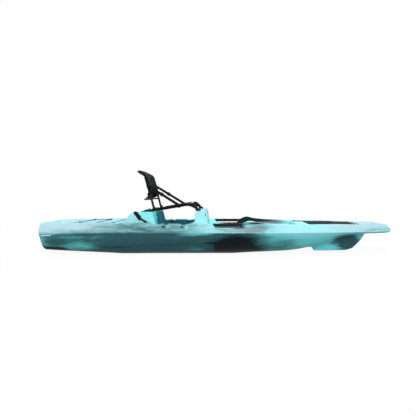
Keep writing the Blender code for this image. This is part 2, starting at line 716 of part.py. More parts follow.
def grid_solid(front, back, name):
    """A closed solid between two grids of points of the same size, such as the faces of a cloth."""
    form = bmesh.new()
    faces = []
    for grid in (front, back):
        faces.append([[form.verts.new(p) for p in row] for row in grid])
    near, far = faces
    rows, columns = len(near), len(near[0])
    for i in range(rows - 1):
        for j in range(columns - 1):
            form.faces.new((near[i][j], near[i][j + 1], near[i + 1][j + 1], near[i + 1][j]))
            form.faces.new((far[i][j], far[i + 1][j], far[i + 1][j + 1], far[i][j + 1]))
    for i in range(rows - 1):
        for j in (0, columns - 1):
            form.faces.new((near[i][j], near[i + 1][j], far[i + 1][j], far[i][j]))
    for j in range(columns - 1):
        for i in (0, rows - 1):
            form.faces.new((near[i][j], near[i][j + 1], far[i][j + 1], far[i][j]))
    return mesh_of(form, name)


# The seat

def rail_route(side):
    """Centre line of one seat rail from its foot to the middle of the rear bar."""
    y = side * RAIL_Y
    rear_x, rear_z = RAIL_PROFILE[-1]
    return [(x, y, z) for x, z in RAIL_PROFILE] + [(rear_x, 0.0, rear_z)]


def rail_height(x):
    knots = sorted((p[0], p[2]) for p in rail_route(1)[2:7])
    return track(knots, x)


def back_route(side):
    """Centre line of one upright of the seat back from its foot to the middle of the head bar."""
    return [(x, side * BACK_Y * share, z) for x, share, z in BACK_PROFILE]


def back_x(z):
    knots = sorted((p[2], p[0]) for p in back_route(1)[:5])
    return track(knots, z)


def both_sides(route):
    right = route(-1)
    left = route(1)
    return right[:-1] + left[:-1][::-1]


def build_base_frame(material):
    path = filleted(both_sides(rail_route), RAIL_FILLET)
    frame = add_object("seat_base_frame", sweep(path, TUBE_R, TUBE_SIDES, "seat_base_frame"), material)
    z = float(rail_height(FRONT_BAR_X))
    bar = [(FRONT_BAR_X, -RAIL_Y, z), (FRONT_BAR_X, 0.0, z), (FRONT_BAR_X, RAIL_Y, z)]
    use_boolean(frame, add_cutter("front_bar", sweep(bar, FRONT_BAR_R, TUBE_SIDES, "front_bar")), "UNION")
    for end, inner in ((0, 1), (-1, -2)):
        path[end] = path[end] + (path[end] - path[inner]).normalized() * CLEARANCE
    return add_cutter("frame_room", sweep(path, TUBE_R + CLEARANCE, TUBE_SIDES, "frame_room"))


def pivot_cutter(name):
    """The hole for a hinge bolt, right across the seat."""
    return round_cutter(name, HINGE_BOLT_R + CLEARANCE, (PIVOT_X, 0.0, PIVOT_Z), 4 * RAIL_Y, "Y", 12)


def build_back_frame(material):
    path = filleted(both_sides(back_route), BACK_FILLET)
    mesh = sweep(path, TUBE_R, TUBE_SIDES, "seat_back_frame")
    frame = add_object("seat_back_frame", mesh, material, (PIVOT_X, 0.0, PIVOT_Z))
    use_boolean(frame, pivot_cutter("back_pivot_hole"), "DIFFERENCE")
    return frame


def build_hinge(side, word, metal, plastic):
    """The bracket on one rail, and the bolt that the upright turns on."""
    y = side * (RAIL_Y - TUBE_R - CLEARANCE - BRACKET_T)
    low, high = sorted((y, y + side * BRACKET_T))
    outline = []
    for k in range(EAR_STEPS + 1):
        angle = math.pi * k / EAR_STEPS
        reach, rise = BRACKET_EAR_R * math.cos(angle), BRACKET_EAR_R * math.sin(angle)
        outline.append((PIVOT_X + reach, PIVOT_Z + rise))
    for x in (PIVOT_X - BRACKET_REACH, PIVOT_X + BRACKET_REACH):
        outline.append((x, float(rail_height(x)) - BRACKET_SINK))
    mesh = extrude_outline(outline, "y", low, high, "bracket")
    bracket = add_object(f"hinge_bracket_{word}", mesh, plastic)
    use_boolean(bracket, pivot_cutter(f"bracket_hole_{word}"), "DIFFERENCE")
    inner = BACK_Y - TUBE_R - CLEARANCE
    outer = RAIL_Y - TUBE_R + CLEARANCE
    small = BOLT_HEAD_R - BOLT_EDGE
    shape = [(inner - BOLT_HEAD_T, small), (inner - BOLT_HEAD_T + BOLT_EDGE, BOLT_HEAD_R),
             (inner, BOLT_HEAD_R), (inner, HINGE_BOLT_R), (outer, HINGE_BOLT_R), (outer, BOLT_HEAD_R),
             (outer + BOLT_NUT_T - BOLT_EDGE, BOLT_HEAD_R), (outer + BOLT_NUT_T, small)]
    points = [(side * along, radius) for along, radius in shape]
    bolt = turned(points, (PIVOT_X, 0.0, PIVOT_Z), "Y", f"hinge_bolt_{word}", 12)
    add_object(f"hinge_bolt_{word}", bolt, metal)


def bow_bar_point(share):
    """A point of the bow bar's centre line at a share of its half-width."""
    half = BACK_Y - TUBE_R - 2 * CLEARANCE - BOW_BAR_TUCK
    depth = 1 - abs(share) ** BOW_BAR_POWER
    x = float(back_x(BOW_BAR_Z)) - BOW_BAR_DEPTH * depth
    return Vector((x, half * share, BOW_BAR_Z - BOW_BAR_DROP * depth))


def build_bow_bar(material):
    """The cross bar low on the seat back, bowed towards the stern."""
    end = BACK_Y - TUBE_R - 2 * CLEARANCE
    x0 = float(back_x(BOW_BAR_Z))
    points = [(x0, -end, BOW_BAR_Z)]
    points += [bow_bar_point(-1 + 2 * k / BOW_BAR_STEPS) for k in range(BOW_BAR_STEPS + 1)]
    points.append((x0, end, BOW_BAR_Z))
    mesh = sweep(points, BOW_BAR_R, 10, "back_bow_bar")
    add_object("back_bow_bar", mesh, material, (PIVOT_X, 0.0, PIVOT_Z))


def wrap_section(half, inner):
    """Half of a cloth section, from under a tube, round its outside and over its top to the middle.

    Gives (offset along y from the middle, offset square to the cloth) for the two faces.
    """
    faces = []
    for radius in (inner, inner + CLOTH):
        face = []
        for k in range(WRAP_STEPS + 1):
            angle = math.radians(WRAP_FROM + (90 - WRAP_FROM) * k / WRAP_STEPS)
            face.append((half + radius * math.cos(angle), radius * math.sin(angle)))
        faces.append(face)
    return faces


def hang(share):
    """How much of its full depth a slung cloth has at a share of its half-width."""
    return (1 - share**2) ** HANG_POWER


def cloth_section(half, sag):
    """Both faces of a cloth that hangs between two tubes and wraps them, from side to side."""
    result = []
    inner = TUBE_R + SLEEVE_GAP
    for face, level in zip(wrap_section(half, inner), (inner, inner + CLOTH)):
        middle = []
        for k in range(1, SLING_COLUMNS + 1):
            share = 1 - k / SLING_COLUMNS
            middle.append((half * share, level - sag * hang(share)))
        side = face + middle
        mirror = [(-y, h) for y, h in side[:-1]][::-1]
        result.append(side + mirror)
    return result


def build_sling(material):
    """The seat: a cloth slung between the rails, lowest in the middle."""
    stations = np.linspace(SLING_AFT_X, SLING_FORE_X, SLING_ROWS)
    grids = [[], []]
    for x in stations:
        share = (x - SLING_AFT_X) / (SLING_FORE_X - SLING_AFT_X)
        fullness = math.sin(math.pi * min(share * SLING_FALL, 1.0))
        sag = SLING_SAG * (SLING_SAG_AFT + (1 - SLING_SAG_AFT) * fullness)
        sag = sag * float(1 - (1 - SLING_SAG_FORE) * ramp(share, SLING_RISE_FROM, 1.0))
        centre = float(rail_height(x))
        for grid, face in zip(grids, cloth_section(RAIL_Y, sag)):
            grid.append([(x, y, centre + h) for y, h in face])
    add_object("seat_sling", grid_solid(grids[0], grids[1], "seat_sling"), material)


def back_line():
    """The upright's bent centre line from foot to head bar, as rising arrays of z, x and half-width."""
    path = [p for p in filleted(back_route(1), BACK_FILLET, 8)[:-1] if p.z > PANEL_START_Z]
    return [np.array([p[k] for p in path]) for k in (2, 0, 1)]


def back_place(z, line):
    """Centre x, half-width and the square-to-frame direction (x, z) of the back frame at a height."""
    levels, xs, halves = line
    x, half = float(np.interp(z, levels, xs)), float(np.interp(z, levels, halves))
    ahead, behind = min(z + CLOTH, levels[-1]), z - CLOTH
    run = float(np.interp(ahead, levels, xs) - np.interp(behind, levels, xs))
    length = math.hypot(run, ahead - behind)
    return x, half, ((ahead - behind) / length, -run / length)


def panel_hem(share):
    """The low edge of the back cloth: on the bow bar in the middle, and up to the uprights at the sides."""
    across = abs(share) * BACK_Y / bow_bar_point(1.0).y
    bar = bow_bar_point(min(across, 1.0))
    middle = (bar.x + HEM_FORWARD, bar.z + HEM_LIFT)
    x, _, normal = back_place(PANEL_LOW_Z, back_line())
    lift = TUBE_R + SLEEVE_GAP + CLOTH / 2
    side = (x + lift * normal[0], PANEL_LOW_Z + lift * normal[1])
    run = float(ramp(abs(share), HEM_SHARE, 1.0))
    blend = run * run * (3 - 2 * run)
    return [m + (e - m) * blend for m, e in zip(middle, side)]


def panel_point(v, share):
    """Middle of the back cloth at a height share v of its main part, from its hem to its upper seam."""
    line = back_line()
    top_lift = TUBE_R + SLEEVE_GAP + CLOTH / 2 - PANEL_BOW_TOP * hang(share)
    hem_x, hem_z = panel_hem(share)
    low_x, _, (square_x, square_z) = back_place(PANEL_LOW_Z, line)
    hem_lift = (hem_x - low_x) * square_x + (hem_z - PANEL_LOW_Z) * square_z
    start = hem_z - hem_lift * square_z
    z = start + (PANEL_HIGH_Z - start) * v
    x, half, normal = back_place(z, line)
    lift = top_lift + (hem_lift - top_lift) * (1 - v) ** PANEL_FLARE_POWER
    return Vector((x + lift * normal[0], half * share, z + lift * normal[1]))


def panel_row(z, v, line):
    """One row of the cloth's middle surface: round one upright, across, and round the other."""
    radius = TUBE_R + SLEEVE_GAP + CLOTH / 2
    x, half, normal = back_place(z, line)
    start = WRAP_FROM + (WRAP_OPEN_FROM - WRAP_FROM) * float(ramp(z, PANEL_HIGH_Z, WRAP_OPEN_Z))
    side = []
    for k in range(WRAP_STEPS):
        angle = math.radians(start + (90 - start) * k / WRAP_STEPS)
        lift = radius * math.sin(angle)
        side.append(Vector((x + lift * normal[0], half + radius * math.cos(angle), z + lift * normal[1])))
    calm = PANEL_BOW_TOP * (1 - float(ramp(z, PANEL_HIGH_Z, CALM_Z)))
    for k in range(PANEL_COLUMNS + 1):
        share = 1 - k / PANEL_COLUMNS
        if v is None:
            lift = radius - calm * hang(share)
            side.append(Vector((x + lift * normal[0], half * share, z + lift * normal[1])))
        else:
            side.append(panel_point(v, share))
    return side + [Vector((p.x, -p.y, p.z)) for p in side[:-1][::-1]]


def thickened(grid, low, high):
    """Two faces of a sheet, offset low and high along the normals of its middle surface."""
    points = np.array([[tuple(p) for p in row] for row in grid])
    along = np.gradient(points, axis=0)
    across = np.gradient(points, axis=1)
    normal = np.cross(along, across)
    normal /= np.linalg.norm(normal, axis=2)[:, :, None]
    return [(points + normal * offset).tolist() for offset in (low, high)]


def build_panel(material):
    """The cloth of the seat back: round both uprights, over the head, and down to the bow bar."""
    line = back_line()
    levels = np.linspace(PANEL_LOW_Z, PANEL_HIGH_Z, PANEL_ROWS + 1)
    rows = [panel_row(z, k / PANEL_ROWS, line) for k, z in enumerate(levels)]
    rows += [panel_row(z, None, line) for z in HEAD_LEVELS]
    front, back = thickened(rows, -CLOTH / 2, CLOTH / 2)
    mesh = grid_solid(front, back, "seat_back_panel")
    add_object("seat_back_panel", mesh, material, (PIVOT_X, 0.0, PIVOT_Z))


def build_pad(material):
    """The lumbar pad: crowned in front with two sewn channels, and bowed like the cloth behind it."""
    grid = []
    for i in range(PAD_ROWS + 1):
        v = (PAD_FIRST_ROW + i) / PANEL_ROWS
        grid.append([panel_point(v, -k / PANEL_COLUMNS) for k in range(-PAD_COLUMNS, PAD_COLUMNS + 1)])
    flat, _ = thickened(grid, CLOTH / 2 + 2 * CLEARANCE, 0.0)
    rise, _ = thickened(grid, 1.0, 0.0)
    front = []
    for i, (row, high, low) in enumerate(zip(grid, rise, flat)):
        v = -1 + 2 * i / PAD_ROWS
        points = []
        for k, (point, tip, base) in enumerate(zip(row, high, low)):
            u = (k - PAD_COLUMNS) / PAD_COLUMNS
            crown = math.sqrt((1 - u**4) * (1 - v**4))
            channel = PAD_CHANNEL_SHARE if abs(k - PAD_COLUMNS) == PAD_CHANNEL_COLUMN else 1.0
            lift = PAD_EDGE + PAD_T * crown * channel
            points.append([b + (t - p) * lift for b, t, p in zip(base, tip, point)])
        front.append(points)
    add_object("lumbar_pad", grid_solid(front, flat, "lumbar_pad"), material, (PIVOT_X, 0.0, PIVOT_Z))


def strap_frame():
    top = Vector((STRAP_TOP_X, 0.0, STRAP_TOP_Z))
    foot = Vector((STRAP_FOOT_X, 0.0, STRAP_FOOT_Z))
    along = (foot - top).normalized()
    across = Vector((-along.z, 0.0, along.x))
    return top, foot, along, across


def flat_band(start, end, across, width, inner, outer, side, name):
    """A flat band between two points, its faces towards the side of the seat."""
    form = bmesh.new()
    corners = []
    for point, y in ((start, inner[0]), (end, inner[1])):
        for lift in (-width / 2, width / 2):
            base = point + across * lift
            corners.append((base, y))
    verts = []
    for depth in (0.0, outer):
        verts.append([form.verts.new((p.x, side * (y + depth), p.z)) for p, y in corners])
    near, far = verts
    form.faces.new((near[0], near[1], near[3], near[2]))
    form.faces.new((far[0], far[2], far[3], far[1]))
    for a, b in ((0, 1), (1, 3), (3, 2), (2, 0)):
        form.faces.new((near[a], far[a], far[b], near[b]))
    return mesh_of(form, name)


def build_strap(side, word, webbing, plastic):
    """The adjusting strap: one band down to the buckle, and a doubled band from there to the rail."""
    top, foot, along, across = strap_frame()
    length = (foot - top).length
    inner_top = BACK_Y + TUBE_R + SLEEVE_GAP + CLOTH + STRAP_STANDOFF
    inner_foot = RAIL_Y + TUBE_R + SLEEVE_GAP + CLOTH + STRAP_STANDOFF

    def y_at(share):
        return inner_top + (inner_foot - inner_top) * share

    buckle = BUCKLE_LENGTH / 2 / length
    parts = (("back_strap", 0.0, BUCKLE_SHARE - buckle, STRAP_WIDTH, STRAP_T, webbing),
             ("strap_buckle", BUCKLE_SHARE - buckle + BUCKLE_GAP, BUCKLE_SHARE + buckle - BUCKLE_GAP,
              STRAP_WIDTH + BUCKLE_WIDER, STRAP_T + BUCKLE_THICKER, plastic),
             ("strap_tail", BUCKLE_SHARE + buckle, 1.0, STRAP_WIDTH, 2 * STRAP_T, webbing))
    for name, start, end, width, depth, material in parts:
        mesh = flat_band(top + along * length * start, top + along * length * end, across, width,
                         (y_at(start), y_at(end)), depth, side, name)
        add_object(f"{name}_{word}", mesh, material)


def build_seat_feet(side, word, material, frame_room):
    """The front foot on a pedestal and the clip that holds a rail on its block."""
    y = side * RAIL_Y
    base = PEDESTAL_Z + CLEARANCE
    low, high = y - FOOT_HALF_WIDTH, y + FOOT_HALF_WIDTH
    outline = [(LEG_X + along, base + rise) for along, rise in FOOT_SIDE_PROFILE]
    foot = add_object(f"front_foot_{word}", extrude_outline(outline, "y", low, high, "foot"), material)
    use_boolean(foot, frame_room, "DIFFERENCE")
    base = BLOCK_CRADLE_Z + CLEARANCE
    crest = float(rail_height(CLIP_FORE_X)) + TUBE_R + CLIP_ROOF
    outline = [(CLIP_AFT_X, base), (CLIP_FORE_X, base), (CLIP_FORE_X, crest - CLIP_SLOPE),
               (CLIP_FORE_X - CLIP_SLOPE, crest), (CLIP_AFT_X + CLIP_SLOPE, crest - CLIP_SLOPE),
               (CLIP_AFT_X, crest - 2 * CLIP_SLOPE)]
    clip = add_object(f"rear_clip_{word}", extrude_outline(outline, "y", low, high, "clip"), material)
    use_boolean(clip, frame_room, "DIFFERENCE")


# Deck fittings

def build_grab_rail(side, word, material):
    """A track bar across the gunwale dip, with ends cut to the slopes and a slot along its top."""
    width = RAIL_BAR_WIDTH / 2
    aft_slope = DIP_AFT_RUN / (DIP_RIM_Z - DIP_Z)
    fore_slope = DIP_FORE_RUN / (DIP_RIM_Z - DIP_Z)
    form = bmesh.new()
    top, low, edge = RAIL_BAR_HIGH_Z, RAIL_BAR_LOW_Z, RAIL_BAR_EDGE
    lip, floor = top - RAIL_SLOT_LIP, top - RAIL_SLOT_FLOOR
    mouth, pocket = RAIL_SLOT_MOUTH, RAIL_SLOT_POCKET
    section = [(-width, low), (width, low), (width, top - edge), (width - edge, top), (mouth, top),
               (mouth, lip), (pocket, lip), (pocket, floor), (-pocket, floor), (-pocket, lip),
               (-mouth, lip), (-mouth, top), (-width + edge, top), (-width, top - edge)]
    rows = []
    for end in (0, 1):
        row = []
        for y, z in section:
            if end == 0:
                x = DIP_AFT_X - (z - DIP_Z) * aft_slope + RAIL_BAR_END_GAP
            else:
                x = DIP_FORE_X + (z - DIP_Z) * fore_slope - RAIL_BAR_END_GAP
            row.append(form.verts.new((x, side * RAIL_BAR_Y + y, z)))
        rows.append(row)
    form.faces.new(rows[0])
    form.faces.new(list(reversed(rows[1])))
    for k in range(len(section)):
        after = (k + 1) % len(section)
        form.faces.new((rows[0][k], rows[1][k], rows[1][after], rows[0][after]))
    add_object(f"grab_rail_{word}", mesh_of(form, "grab_rail"), material)


def eye_outline():
    """Front view of a pad eye: two flanges and an arch with a round-topped gap."""
    inner, outer = EYE_GAP_R, EYE_GAP_R + EYE_WALL
    flange = EYE_FLANGE_T
    points = [(outer + EYE_FLANGE, 0.0), (outer + EYE_FLANGE, flange), (outer, flange)]
    for k in range(EYE_ARCH_STEPS + 1):
        angle = math.pi * k / EYE_ARCH_STEPS
        points.append((outer * math.cos(angle), EYE_GAP_R + outer * math.sin(angle)))
    points += [(-outer, flange), (-outer - EYE_FLANGE, flange), (-outer - EYE_FLANGE, 0.0), (-inner, 0.0)]
    for k in range(EYE_ARCH_STEPS + 1):
        angle = math.pi - math.pi * k / EYE_ARCH_STEPS
        points.append((inner * math.cos(angle), EYE_GAP_R + inner * math.sin(angle)))
    points.append((inner, 0.0))
    return points


def cord_rise():
    """Height of a taut cord's centre in a pad eye, drawn up against the arch."""
    return 2 * EYE_GAP_R - EYE_CORD_R - 2 * CLEARANCE


def deck_point(x, n, side, lift=0.0):
    """A point lift above the deck at a station, n being its half-breadth at full beam."""
    y = side * n * float(breadth_scale(x))
    return Vector((x, y, float(deck_height(x, np.array(n))) + lift))


def eye_seat(x, n, side, lift=0.0):
    """Where an eye's foot stands: over the highest deck that the foot covers."""
    reach = EYE_GAP_R + EYE_WALL + EYE_FLANGE
    spread = reach / float(breadth_scale(x))
    around = [(x + a * reach, n + b * spread / 2) for a in (-1, 0, 1) for b in (-1, 0, 1)]
    levels = [deck_point(*place, side).z for place in around]
    foot = deck_point(x, n, side)
    foot.z = max(levels) + CLEARANCE + lift
    return foot


def place_eyes(name, places, material):
    """Pad eyes, each stood on the deck and turned about its own upright axis."""
    for number, (x, n, side, turn) in enumerate(places, 1):
        foot = eye_seat(x, n, side)
        rise = deck_point(x + EYE_BREADTH, n, side).z - deck_point(x - EYE_BREADTH, n, side).z
        tilt = Matrix.Rotation(-math.atan2(rise, 2 * EYE_BREADTH), 4, "Y")
        mesh = extrude_outline(eye_outline(), "y", -EYE_BREADTH / 2, EYE_BREADTH / 2, name)
        mesh.transform(Matrix.Translation(foot) @ tilt @ Matrix.Rotation(math.radians(turn), 4, "Z"))
        add_object(f"{name}_{number}", mesh, material)


def build_aft_bungee(eye_material, cord_material):
    """A shock cord laced in one serpentine through the six eyes beside the tankwell."""
    first, second, third = AFT_EYE_STATIONS
    stops = ((first, -1, 0), (first, 1, -45), (second, 1, 45), (second, -1, 45), (third, -1, -45),
             (third, 1, 0))
    places = [(x, AFT_EYE_TRACK, side, turn) for x, side, turn in stops]
    place_eyes("tankwell_eye", places, eye_material)
    route = []
    for x, side, turn in stops:
        centre = eye_seat(x, AFT_EYE_TRACK, side, cord_rise())
        heading = Vector((-math.sin(math.radians(turn)), math.cos(math.radians(turn)), 0.0))
        if turn > 0:
            heading = -heading
        reach = EYE_BREADTH if turn else CORD_TAIL
        route += [centre - heading * reach, centre + heading * reach]
    cord("tankwell_bungee", filleted(route, BUNGEE_FILLET, 3), EYE_CORD_R, cord_material)


def build_bow_cover(cloth, eye_material, cord_material):
    """The mesh cover over the bow well, and the elastic that holds it, run through six eyes."""
    places = [(x, BOW_EYE_TRACK, side, 90) for x in BOW_EYE_STATIONS for side in (-1, 1)]
    place_eyes("bow_eye", places, eye_material)
    sides = []
    for side in (-1, 1):
        run = [eye_seat(x, BOW_EYE_TRACK, side, cord_rise()) for x in BOW_EYE_STATIONS]
        tail = run[0] + (run[0] - run[1]).normalized() * CORD_TAIL
        corner = eye_seat(BOW_EYE_STATIONS[-1] + COVER_CORD_LEAD, BOW_EYE_TRACK, side, cord_rise())
        sides.append([tail, *run, corner])
    route = filleted(sides[0] + sides[1][::-1], COVER_CORD_FILLET, 4)
    cord("bow_cover_cord", route, EYE_CORD_R, cord_material)

    aft, fore = BOW_WELL_AFT_X - COVER_MARGIN, BOW_WELL_FORE_X + COVER_MARGIN
    grids = [[], []]
    ends = (BOW_WELL_AFT_X, BOW_WELL_FORE_X, COVER_SAG_RUN, BOW_WELL_TOP_TRACK, COVER_SAG_TRACK)
    for x in np.linspace(aft, fore, COVER_ROWS):
        rim = deck_point(x, COVER_TRACK, 1).z
        low, high = [], []
        for k in range(-COVER_COLUMNS, COVER_COLUMNS + 1):
            n = COVER_TRACK * abs(k) / COVER_COLUMNS
            point = deck_point(x, n, 1 if k > 0 else -1)
            level = rim + 2 * CLEARANCE - COVER_SAG * float(well(x, n, *ends))
            low.append((x, point.y, level))
            high.append((x, point.y, level + CLOTH))
        grids[0].append(low)
        grids[1].append(high)
    add_object("bow_mesh_cover", grid_solid(grids[0], grids[1], "bow_mesh_cover"), cloth)


def build_drain_plug(plastic, rubber):
    """The screw plug in the stern's round recess, with its sealing ring under the head."""
    seat = STERN_X + PLUG_RECESS
    inner, outer = PLUG_R + 2 * CLEARANCE, PLUG_HEAD_R - PLUG_EDGE / 2
    ring = [(-CLEARANCE, inner), (-CLEARANCE, outer), (-CLEARANCE - GASKET_T, outer),
            (-CLEARANCE - GASKET_T, inner)]
    mesh = turned(ring, (seat, 0.0, PLUG_Z), "X", "plug_gasket", ring=True)
    add_object("plug_gasket", mesh, rubber, (seat, 0.0, PLUG_Z))
    under = -GASKET_T - 2 * CLEARANCE
    profile = [(under - PLUG_HEAD_T, PLUG_HEAD_R - PLUG_EDGE), (under - PLUG_HEAD_T + PLUG_EDGE, PLUG_HEAD_R),
               (under, PLUG_HEAD_R), (under, PLUG_R), (PLUG_SHANK - PLUG_EDGE, PLUG_R),
               (PLUG_SHANK, PLUG_R - PLUG_EDGE)]
    mesh = turned(profile, (seat, 0.0, PLUG_Z), "X", "drain_plug")
    plug = add_object("drain_plug", mesh, plastic, (seat, 0.0, PLUG_Z))
    face = seat + under - PLUG_HEAD_T
    for k, sign in enumerate((-1, 1)):
        near, far = sorted((sign * PLUG_RIB / 2, sign * (PLUG_RIB / 2 + PLUG_POCKET_WIDTH)))
        corners = ((-1, near), (1, near), (1, far), (-1, far))
        outline = [(PLUG_POCKET_REACH * way, PLUG_Z + z) for way, z in corners]
        name = f"plug_pocket_{k}"
        pocket = extrude_outline(outline, "x", face - PLUG_HEAD_T, face + PLUG_POCKET_DEPTH, name)
        use_boolean(plug, add_cutter(name, pocket), "DIFFERENCE")


def build_keeper(side, word, plastic, cord_material):
    """The paddle keeper: a moulded hook lying on the slope of the fin, and its short elastic."""
    outline = [(x, float(track(RIM, x)) + lift) for x, lift in KEEPER_SIDE_PROFILE]
    y = side * KEEPER_TRACK
    mesh = extrude_outline(outline, "y", y - KEEPER_BREADTH / 2, y + KEEPER_BREADTH / 2, "keeper")
    add_object(f"paddle_keeper_{word}", mesh, plastic)
    points = []
    for x in np.linspace(KEEPER_CORD_X, KEEPER_END_X, KEEPER_CORD_POINTS):
        points.append((x, y, float(track(RIM, x)) + KEEPER_CORD_REST * KEEPER_CORD_R + CLEARANCE))
    cord(f"keeper_cord_{word}", points, KEEPER_CORD_R, cord_material)


def main():
    clear_scene()
    aqua = finish("marbled_polyethylene", (0.30, 0.62, 0.68), 0.45)
    black = finish("black_anodised_tube", (0.01, 0.01, 0.012), 0.40, 0.6)
    plastic = finish("black_nylon", (0.012, 0.012, 0.014), 0.50)
    cloth = finish("black_mesh_cloth", (0.02, 0.022, 0.025), 0.85)
    padding = finish("padded_cloth", (0.010, 0.012, 0.013), 0.90)
    webbing = finish("black_webbing", (0.008, 0.008, 0.009), 0.80)
    steel = finish("stainless_steel", (0.55, 0.55, 0.55), 0.30, 1.0)
    rubber = finish("black_rubber", (0.015, 0.015, 0.015), 0.90)
    shock = finish("shock_cord", (0.03, 0.03, 0.035), 0.75)

    build_hull(aqua)
    frame_room = build_base_frame(black)
    build_back_frame(black)
    build_bow_bar(black)
    build_sling(cloth)
    build_panel(cloth)
    build_pad(padding)
    for side, word in ((-1, "right"), (1, "left")):
        build_hinge(side, word, steel, plastic)
        build_strap(side, word, webbing, plastic)
        build_seat_feet(side, word, plastic, frame_room)
        build_grab_rail(side, word, plastic)
        build_keeper(side, word, plastic, shock)
    build_aft_bungee(plastic, shock)
    build_bow_cover(cloth, plastic, shock)
    build_drain_plug(plastic, rubber)


main()
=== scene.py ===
import math

import bmesh
import bpy
import numpy as np
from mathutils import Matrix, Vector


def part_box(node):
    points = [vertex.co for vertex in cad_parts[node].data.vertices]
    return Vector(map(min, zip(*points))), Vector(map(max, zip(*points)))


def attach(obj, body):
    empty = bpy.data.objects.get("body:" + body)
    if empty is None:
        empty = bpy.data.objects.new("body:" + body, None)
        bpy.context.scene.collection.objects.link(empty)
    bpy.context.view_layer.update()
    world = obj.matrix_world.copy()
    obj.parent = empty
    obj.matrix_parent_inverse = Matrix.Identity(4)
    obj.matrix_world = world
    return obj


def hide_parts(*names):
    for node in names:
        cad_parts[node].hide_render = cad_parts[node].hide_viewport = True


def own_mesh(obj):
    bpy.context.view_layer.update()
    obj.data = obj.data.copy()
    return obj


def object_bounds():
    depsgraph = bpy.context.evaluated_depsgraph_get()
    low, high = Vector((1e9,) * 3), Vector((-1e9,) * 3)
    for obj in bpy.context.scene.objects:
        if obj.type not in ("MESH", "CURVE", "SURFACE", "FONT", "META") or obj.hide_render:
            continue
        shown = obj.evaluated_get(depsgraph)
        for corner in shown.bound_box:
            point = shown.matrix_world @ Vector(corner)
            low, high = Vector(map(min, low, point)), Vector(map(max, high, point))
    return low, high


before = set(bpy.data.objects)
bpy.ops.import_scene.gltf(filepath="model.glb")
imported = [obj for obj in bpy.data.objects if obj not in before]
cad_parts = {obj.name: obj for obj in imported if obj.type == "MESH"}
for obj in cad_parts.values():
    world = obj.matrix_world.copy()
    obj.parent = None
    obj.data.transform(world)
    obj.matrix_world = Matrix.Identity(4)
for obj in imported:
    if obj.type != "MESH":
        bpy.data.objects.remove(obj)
cadBox = [list(corner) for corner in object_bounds()]
print("frame loaded:", len(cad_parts), "nodes")


# Shader values that take part in plain arithmetic
class Value:
    def __init__(self, graph, socket):
        self.graph, self.socket = graph, socket

    def sum(self, kind, other, swapped=False):
        pair = (other, self) if swapped else (self, other)
        return self.graph.node("ShaderNodeMath", {"operation": kind}, {0: pair[0], 1: pair[1]})

    def __add__(self, other):
        return self.sum("ADD", other)

    def __sub__(self, other):
        return self.sum("SUBTRACT", other)

    def __rsub__(self, other):
        return self.sum("SUBTRACT", other, True)

    def __mul__(self, other):
        return self.sum("MULTIPLY", other)

    __radd__, __rmul__ = __add__, __mul__


# A node tree, and the nodes that go into it
class Graph:
    def __init__(self, tree):
        self.tree = tree

    def put(self, socket, value):
        if isinstance(value, Value):
            self.tree.links.new(value.socket, socket)
        elif socket.type == "RGBA" and len(value) == 3:
            socket.default_value = (*value, 1.0)
        else:
            socket.default_value = value

    def node(self, kind, settings=None, inputs=None, output=0):
        made = self.tree.nodes.new(kind)
        for key, value in (settings or {}).items():
            setattr(made, key, value)
        for key, value in (inputs or {}).items():
            self.put(made.inputs[key], value)
        return Value(self, made.outputs[output])

    def blend(self, share, first, second):
        return self.node("ShaderNodeMix", {"data_type": "RGBA"}, {0: share, 6: first, 7: second}, 2)

    def between(self, value, low, high, start=0.0, end=1.0):
        return self.node("ShaderNodeMapRange", {"interpolation_type": "SMOOTHSTEP"},
                         {"Value": value, "From Min": low, "From Max": high, "To Min": start, "To Max": end})

    def seen(self):
        rays = self.tree.nodes.new("ShaderNodeLightPath")
        camera, glossy, through = (Value(self, rays.outputs[name]) for name in
                                   ("Is Camera Ray", "Is Glossy Ray", "Is Transmission Ray"))
        return camera.sum("MAXIMUM", glossy).sum("MAXIMUM", through), camera


# One material: a Principled shader, with nodes added around it
class Paint(Graph):
    def __init__(self, name, roughness=0.5, metallic=0.0, sheen=0.5):
        self.material = bpy.data.materials.new(name)
        self.material.use_nodes = True
        super().__init__(self.material.node_tree)
        self.shader = self.tree.nodes["Principled BSDF"]
        for key, value in (("Roughness", roughness), ("Metallic", metallic), ("Specular IOR Level", sheen)):
            self.feed(key, value)
        self.here = self.node("ShaderNodeTexCoord", output="Object")

    def feed(self, name, value):
        self.put(self.shader.inputs[name], value)

    def noise(self, scale, detail=3.0, roughness=0.5, where=None, bend=0.0):
        return self.node("ShaderNodeTexNoise", None, {"Vector": where or self.here, "Scale": scale, "Detail": detail,
                                                      "Roughness": roughness, "Distortion": bend})

    def wave(self, value, pitch):
        return self.node("ShaderNodeMath", {"operation": "SINE"}, {0: value * (2 * math.pi / pitch)})

    def bump(self, height, strength, distance):
        relief = {"Height": height, "Strength": strength, "Distance": distance}
        self.feed("Normal", self.node("ShaderNodeBump", None, relief))

    def attribute(self, name):
        return self.node("ShaderNodeAttribute", {"attribute_name": name}, None, "Fac")


bothSides = ((-1, "right"), (1, "left"))
mirror = np.array([1, -1, 1])


# Straight 0 to 1
def ramp(value, start, end):
    return np.clip((value - start) / (end - start), 0.0, 1.0)


# Soft 0 to 1 as 3t squared less 2t cubed
def soft(value, start, end):
    t = ramp(value, start, end)
    return t * t * (3.0 - 2.0 * t)


# Soft 1 to 0
def fall(value, start, end):
    return soft(-value, -end, -start)


# Softly up from a to b, and down again from c to d
def span(value, a, b, c, d):
    return soft(value, a, b) * fall(value, c, d)


def bell(value, reach):
    return np.exp(-((value / reach) ** 2))


# Angles round a full turn
def turns(count):
    return np.linspace(0, 2 * np.pi, count, endpoint=False)


# Even values, one to a row
def column(low, high, count):
    return np.linspace(low, high, count)[:, None]


